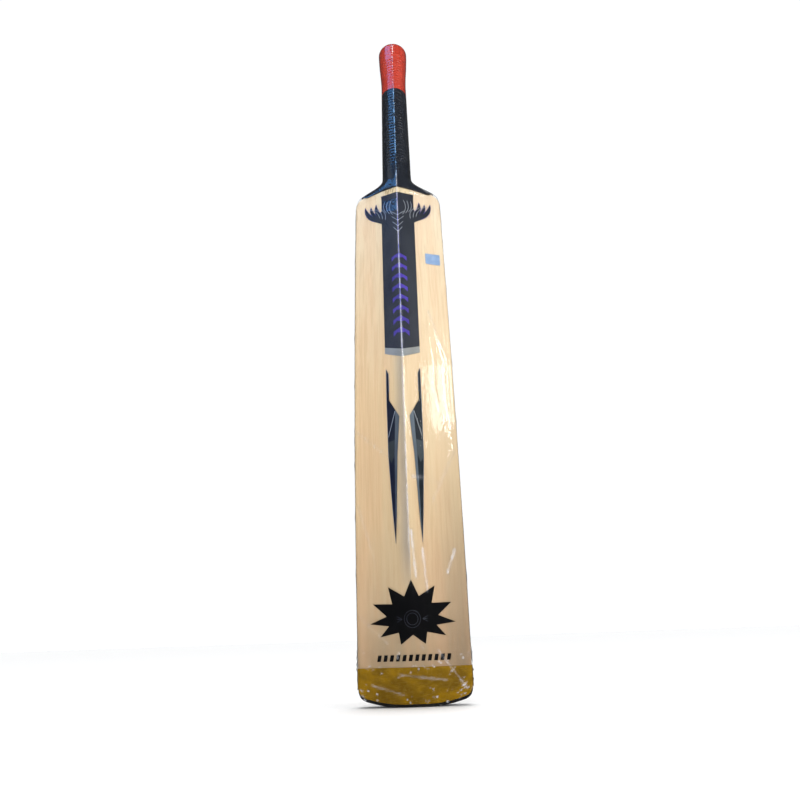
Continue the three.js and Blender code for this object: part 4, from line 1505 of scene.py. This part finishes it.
@dataclass
class Film(SubAssembly):
    """The clear shrink sleeve over the whole bat, open at the toe and at the end of the knob."""

    form: BatForm
    ring: Ring = Ring(33, 4, 1.1, 3)
    over_wood: float = 0.4 * MM
    over_stickers: float = 0.9 * MM
    over_skirt: float = 2.1 * MM
    over_grip: float = 0.3 * MM
    mouth: float = 9 * MM
    thickness: float = 0.1 * MM
    neck_end: float = 56 * MM
    open_toe: float = 0.3 * MM  # the sleeve's lower edge above the toe's underside
    toe_top: float = 60 * MM  # the toe's arched rows become level here
    toe_rows: int = 44
    settled: int = 9  # so many of the toe's rows lie on the wood's sides again
    body_rows: int = 150
    neck_rows: int = 44
    handle_step: float = 1.25 * MM
    crumple: float = 1.1 * MM  # heights: at the toe, over the body, over the ribs, up the handle
    drape: float = 0.5 * MM
    rib_wave: float = 0.13 * MM
    tent: float = 0.7 * MM
    off_floor: float = 0.02 * MM
    # each pleat: from and to (x, z) in millimetres, its height, and how milky it is, which is
    # partly whitened film and partly painted highlight
    pleats: tuple = (
        ((-54, 266), (-17, 230), 0.35, 0.13), ((2, 156), (5, 114), 0.3, 0.5),
        ((12, 141), (15, 103), 0.3, 0.42), ((43, 139), (35, 118), 0.35, 0.5),
        ((5, 208), (30, 206), 0.25, 0.22), ((-50, 185), (-34, 130), 0.3, 0.08),
        ((50, 240), (24, 186), 0.35, 0.10), ((-52, 82), (-24, 56), 0.3, 0.10),
        ((22, 50), (48, 16), 0.35, 0.2), ((-14, 29), (30, 23), 0.4, 0.15),
        ((-40, 20), (-10, 11), 0.35, 0.14), ((30, 400), (46, 345), 0.35, 0.12),
        ((33, 583), (47, 574), 0.2, 0.22))

    def grow(self, z: np.ndarray, x: np.ndarray) -> np.ndarray:
        """How far the film lies above the wood: on the stickers, then over the skirt."""
        rise = smoothstep(z - self.form.hem(x), -9 * MM, -1.2 * MM)
        side = smoothstep(np.abs(x), 47 * MM, 50 * MM) * smoothstep(z, 37 * MM, 52 * MM)
        return blend(blend(self.over_stickers, self.over_wood, side), self.over_skirt, rise)

    def rows(self) -> np.ndarray:
        """Rows of points over the bat, before the film is creased."""
        form, ring = self.form, self.ring
        toe = form.rows(lambda x: form.toe_under(x) + self.open_toe, level(self.toe_top),
                        self.toe_rows, level(self.over_stickers), ring)
        toe[-self.settled:] = self.eased(toe[-self.settled:])
        body = np.linspace(self.toe_top, form.length - 12 * MM, self.body_rows)[1:, None]
        blade = form.section(body, self.grow(body, form.section(body, 0.0, ring)[..., 0]), ring)
        neck = rows_over_neck(form, level(form.length - 10.5 * MM), self.grow, -self.over_grip,
                              ring, self.neck_rows, self.neck_end)
        profile = form.knob_profile(-self.over_grip, self.handle_step, self.neck_end + 1 * MM)
        radius, height = profile[-1]
        flat = [(inner, height) for inner in np.linspace(radius, self.mouth, 5)[1:]]
        handle = form.handle_rows(np.concatenate([profile, np.array(flat)]), ring)
        return np.concatenate([toe, blade, neck, handle])

    def eased(self, rows: np.ndarray) -> np.ndarray:
        """The same rows where the film has settled on the wood's sides above the toe band."""
        z = rows[..., 2]
        return self.form.section(z, self.grow(z, rows[..., 0]), self.ring)

    @staticmethod
    def folds(points: np.ndarray, sharp: float) -> np.ndarray:
        """Creased noise over points, 1 along its folds and falling from them by sharp."""
        waves = [noise.noise(point) for point in points.reshape(-1, 3)]
        return 1 - np.abs(np.array(waves)).reshape(points.shape[:-1]) * sharp

    def creases(self, rows: np.ndarray) -> tuple[np.ndarray, np.ndarray]:
        """How far the film stands off at each point, and how milky it is there: painted highlights
        on the toe's crumples, down the spine and up the handle, and on the pleats partly whitened
        film and partly painted highlight.
        """
        form = self.form
        x, y, z = rows[..., 0], rows[..., 1], rows[..., 2]
        crumple = self.folds(rows * (95, 95, 130), 2)
        drape = self.folds(np.stack([x * 38 + z * 9, y * 30, z * 11 - x * 14], axis=-1), 2.6)
        toe = 1 - smoothstep(z, 0.028, 0.062)
        lift = toe * np.clip(crumple, 0, 1) ** 3 * self.crumple
        spread = smoothstep(np.sin(x * 130 + 1.2) * np.cos(z * 210 + x * 60), -0.5, 0.6)
        # Painted highlight: white glints on the crumples over the toe.
        whitening_and_glints = toe * smoothstep(crumple, 0.95, 1.0) * 0.42 * spread
        body = smoothstep(z, 0.05, 0.1) * (1 - smoothstep(z, form.length - 0.03, form.length))
        lift += body * np.clip(drape, 0, 1) ** 4 * self.drape
        on_back = y < form.axis_line(z)
        # Painted highlight: milky lines down the spine and up the middle of the handle.
        ridge = np.exp(-((x / (0.6 * MM)) ** 2)) * on_back
        up = smoothstep(z, form.length + 0.03, form.length + 0.07)
        fleck = smoothstep(crumple, 0.1, 0.95)
        whitening_and_glints += ridge * (0.10 + 0.30 * fleck) * smoothstep(z, 0.10, 0.2) * (1 - up)
        red = smoothstep(z, form.length + 0.193, form.length + 0.197)
        whitening_and_glints += (np.exp(-(((x + 0.2 * MM) / (0.6 * MM)) ** 2)) * on_back * up
                 * (0.06 + 0.42 * fleck**2) * (1 - 0.6 * red))
        # Along each pleat: partly whitened film and partly painted highlight.
        for start, end, height, haze in self.pleats:
            away = self.distance(x, z, start, end)
            lift += on_back * height * MM * np.exp(-((away / (2.2 * MM)) ** 2))
            whitening_and_glints += on_back * haze * np.exp(-((away / (0.85 * MM)) ** 2)) * (0.35 + 0.65 * fleck)
        wave = np.sin((z - form.length) / math.cos(form.lean) * 2 * np.pi / Handle.rib_pitch)
        lift += self.ribbed(z) * self.rib_wave * (1 + wave)
        tent = np.clip(1 - np.abs(x) / (10 * MM), 0, 1) * on_back * up
        lift += tent * self.tent * (1 - smoothstep(z, form.length + 0.25, form.length + 0.28))
        return lift, np.clip(whitening_and_glints, 0, 1)

    @staticmethod
    def distance(x: np.ndarray, z: np.ndarray, start: tuple, end: tuple) -> np.ndarray:
        """How far each point is from the line from start to end, (x, z) in millimetres."""
        (ax, az), (bx, bz) = np.array(start) * MM, np.array(end) * MM
        share = ((x - ax) * (bx - ax) + (z - az) * (bz - az)) / ((bx - ax) ** 2 + (bz - az) ** 2)
        share = np.clip(share, 0, 1)
        return np.hypot(x - ax - share * (bx - ax), z - az - share * (bz - az))

    def ribbed(self, z: np.ndarray) -> np.ndarray:
        """How clearly the ribs under the film show at each height."""
        h = (z - self.form.length) / math.cos(self.form.lean)
        return smoothstep(h, 0.035, 0.08) * (1 - smoothstep(h, 0.255, 0.262))

    def build(self) -> None:
        """Makes the film."""
        rows = self.rows()
        lift, whitening_and_glints = self.creases(rows)
        along = np.roll(rows, -1, axis=1) - np.roll(rows, 1, axis=1)
        up = np.gradient(rows, axis=0)
        normal = np.cross(along, up)
        normal /= np.maximum(np.linalg.norm(normal, axis=-1, keepdims=True), 1e-12)
        outer = rows + normal * lift[..., None]
        inner = outer - normal * self.thickness
        for wall in (outer, inner):
            wall[..., 2] = np.maximum(wall[..., 2], self.off_floor)
        film = shell("clear_film_sleeve", outer, inner, CLEAR_FILM, CRISP_ROUND)
        smooth = 1 - self.ribbed(rows[..., 2])
        # The crease share holds the film's whitening and its painted highlights.
        for name, values in (("crease", whitening_and_glints), ("smooth", smooth)):
            store(film, name, np.concatenate([values.ravel(), values.ravel()]))
        self.keep(film, CLEAR_FILM, "film_sleeve")
        log.info("film: %d rows of %d points", *rows.shape[:2])


# ---- Studio ----


class Use(Enum):
    """What a soft box is for."""

    LIGHT = "lights matt surfaces"
    MIRRORED = "only shows in glossy surfaces"


@dataclass(frozen=True)
class SoftBox:
    """A soft light. It faces the handle's line at the height aim; radiance is its face's."""

    name: str
    use: Use
    place: tuple[float, float, float]
    aim: float
    size: tuple[float, float]
    radiance: float
    colour: tuple[float, float, float] = (1, 1, 1)


SOFT_BOXES = (
    SoftBox("key", Use.LIGHT, (1.9, -1.0, 0.9), 0.35, (0.8, 1.1), 5.2, (1, 0.98, 0.95)),
    SoftBox("fill", Use.LIGHT, (-0.35, -2.1, 0.6), 0.35, (0.9, 1.1), 8.0),
    SoftBox("sky_panel", Use.MIRRORED, (-1.1, -0.55, 1.45), 0.45, (0.7, 0.9), 0.35,
            (0.85, 0.95, 1)),
    SoftBox("high_panel", Use.MIRRORED, (-0.60, -0.62, 2.12), 0.75, (0.78, 0.36), 3.0,
            (0.12, 0.42, 1)),
    SoftBox("top_glint", Use.MIRRORED, (0.03, -0.80, 2.15), 0.8, (0.10, 0.34), 10),
    SoftBox("glint_strip", Use.MIRRORED, (0.9, -1.05, 0.93), 0.32, (0.14, 0.5), 13),
    SoftBox("glint_patch", Use.MIRRORED, (1.15, -0.95, 0.93), 0.32, (0.40, 0.34), 6.0),
    SoftBox("back_panel", Use.MIRRORED, (0.9, 1.8, 1.2), 0.5, (1.0, 1.4), 1.5))


@dataclass
class Studio:
    """A white floor, soft lights and the camera."""

    place: tuple[float, float, float] = (0.01363, -0.66852, 0.06114)
    yaw: float = -1.644
    pitch: float = 20.326
    roll: float = -1.982
    lens: float = 28.86
    floor_size: float = 60.0
    sky: tuple[float, float, float] = (0.97, 0.985, 1)
    seen: float = 1.05  # the sky's strength to the eye, in reflections and as light
    reflected: float = 0.05
    sky_light: float = 0.46
    sky_slope: float = 0.40  # how much more of it comes from the right
    sun: float = 2.1
    sun_spread: float = 50

    def build_camera(self) -> None:
        """Sets the camera low in front of the spine, looking up the bat."""
        yaw, pitch, roll = (math.radians(a) for a in (self.yaw, self.pitch, self.roll))
        ahead = Vector((math.sin(yaw) * math.cos(pitch), math.cos(yaw) * math.cos(pitch),
                        math.sin(pitch)))
        right = ahead.cross(Vector((0, 0, 1))).normalized()
        up = right.cross(ahead)
        across = right * math.cos(roll) + up * math.sin(roll)
        above = up * math.cos(roll) - right * math.sin(roll)
        turn = Matrix((across, above, -ahead)).transposed().to_4x4()
        data = bpy.data.cameras.new("camera")
        data.lens = self.lens
        data.sensor_width = 36
        data.clip_start, data.clip_end = 0.01, 200
        camera = bpy.data.objects.new("camera", data)
        camera.matrix_world = Matrix.Translation(self.place) @ turn
        bpy.context.scene.collection.objects.link(camera)
        bpy.context.scene.camera = camera

    def build_floor(self) -> None:
        """Lays the floor that the toe stands on."""
        half = self.floor_size / 2
        corners = [(-half, -half, 0), (half, -half, 0), (half, half, 0), (-half, half, 0)]
        floor = make_object("studio_floor", np.array(corners, float), [(0, 1, 2, 3)], FLOOR_PAPER)
        floor.visible_glossy = False

    @staticmethod
    def add_box(box: SoftBox) -> None:
        """Hangs one soft box."""
        data = bpy.data.lights.new(box.name, "AREA")
        data.shape = "RECTANGLE"
        data.size, data.size_y = box.size
        data.energy = box.radiance * math.pi * box.size[0] * box.size[1]
        data.color = box.colour
        light = bpy.data.objects.new(box.name, data)
        light.location = box.place
        light.rotation_mode = "QUATERNION"
        ahead = Vector((0, 0, box.aim)) - Vector(box.place)
        light.rotation_quaternion = ahead.to_track_quat("-Z", "Y")
        light.visible_glossy = box.use is not Use.LIGHT
        light.visible_diffuse = box.use is not Use.MIRRORED
        bpy.context.scene.collection.objects.link(light)

    def build_lights(self) -> None:
        """Lights the bat from both sides, the floor from above and the film with soft panels."""
        for box in SOFT_BOXES:
            self.add_box(box)
        data = bpy.data.lights.new("overhead", "SUN")
        data.energy = self.sun
        data.angle = math.radians(self.sun_spread)
        overhead = bpy.data.objects.new("overhead", data)
        overhead.location = (0, 0, 3)
        overhead.visible_glossy = False
        bpy.context.scene.collection.objects.link(overhead)

    def build_world(self) -> None:
        """Puts the bat before white, with a softer white falling on it and little to mirror."""
        world = bpy.data.worlds.new("studio")
        world.use_nodes = True
        graph = Graph(world.node_tree)
        graph.tree.nodes.clear()
        ahead = graph.node("ShaderNodeTexCoord").outputs["Generated"]
        across = Value(graph, graph.node("ShaderNodeSeparateXYZ", None, {0: ahead}).outputs[0])
        seen, felt, reflected = (
            graph.node("ShaderNodeBackground", None,
                       {"Color": self.sky, "Strength": strength}).outputs[0]
            for strength in (self.seen, across * self.sky_slope + self.sky_light, self.reflected))
        ray = graph.node("ShaderNodeLightPath").outputs
        softer = graph.node("ShaderNodeMixShader", None,
                            {0: ray["Is Glossy Ray"], 1: felt, 2: reflected}).outputs[0]
        both = graph.node("ShaderNodeMixShader", None,
                          {0: ray["Is Camera Ray"], 1: softer, 2: seen})
        graph.node("ShaderNodeOutputWorld", None, {"Surface": both.outputs[0]})
        bpy.context.scene.world = world
        bpy.context.scene.view_settings.view_transform = "Standard"

    def build(self) -> None:
        """Builds the whole studio."""
        self.build_camera()
        self.build_floor()
        self.build_lights()
        self.build_world()


def measured_form() -> BatForm:
    """The bat's form, with its lengths and its toe's width from the frame."""
    (left, _, _), (right, _, _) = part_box("toe_guard")
    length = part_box("blade")[1].z - Blade.wood_above
    form = BatForm(length, right - left, 0)
    knob = (form.knob_radius - form.knob_round) * form.oval
    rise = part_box("grip_upper")[1].z - length - knob * math.sin(form.lean)
    return replace(form, handle_length=rise / math.cos(form.lean))


def main() -> None:
    """Loads the frame and builds every sub-assembly round it."""
    logging.basicConfig(level=logging.INFO, format="%(message)s")
    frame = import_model()
    form = measured_form()
    log.info("blade %.4f m, handle %.4f m", form.length, form.handle_length)

    ribs, thread, row = rib_tool(), thread_tool(), row_tool()
    wood = Blade(form)
    wood.build_willow()
    wood.build_guard()
    wood.build_band()

    grips = Handle(form)
    grips.dress_cane(frame["nodes"])
    grips.build_binding(thread)
    grips.build_lower_grip(ribs)
    grips.build_upper_grip(ribs)

    surface = wood.solid("blade_surface")
    stickers = Stickers(form)
    stickers.build_label(thread, row, surface)
    stickers.build_flashes(thread)
    stickers.build_emblem(thread)
    stickers.build_caption(row, surface)
    stickers.build_tag()
    bpy.data.objects.remove(surface)

    Film(form).build()
    Studio().build()


if __name__ == "__main__":
    main()
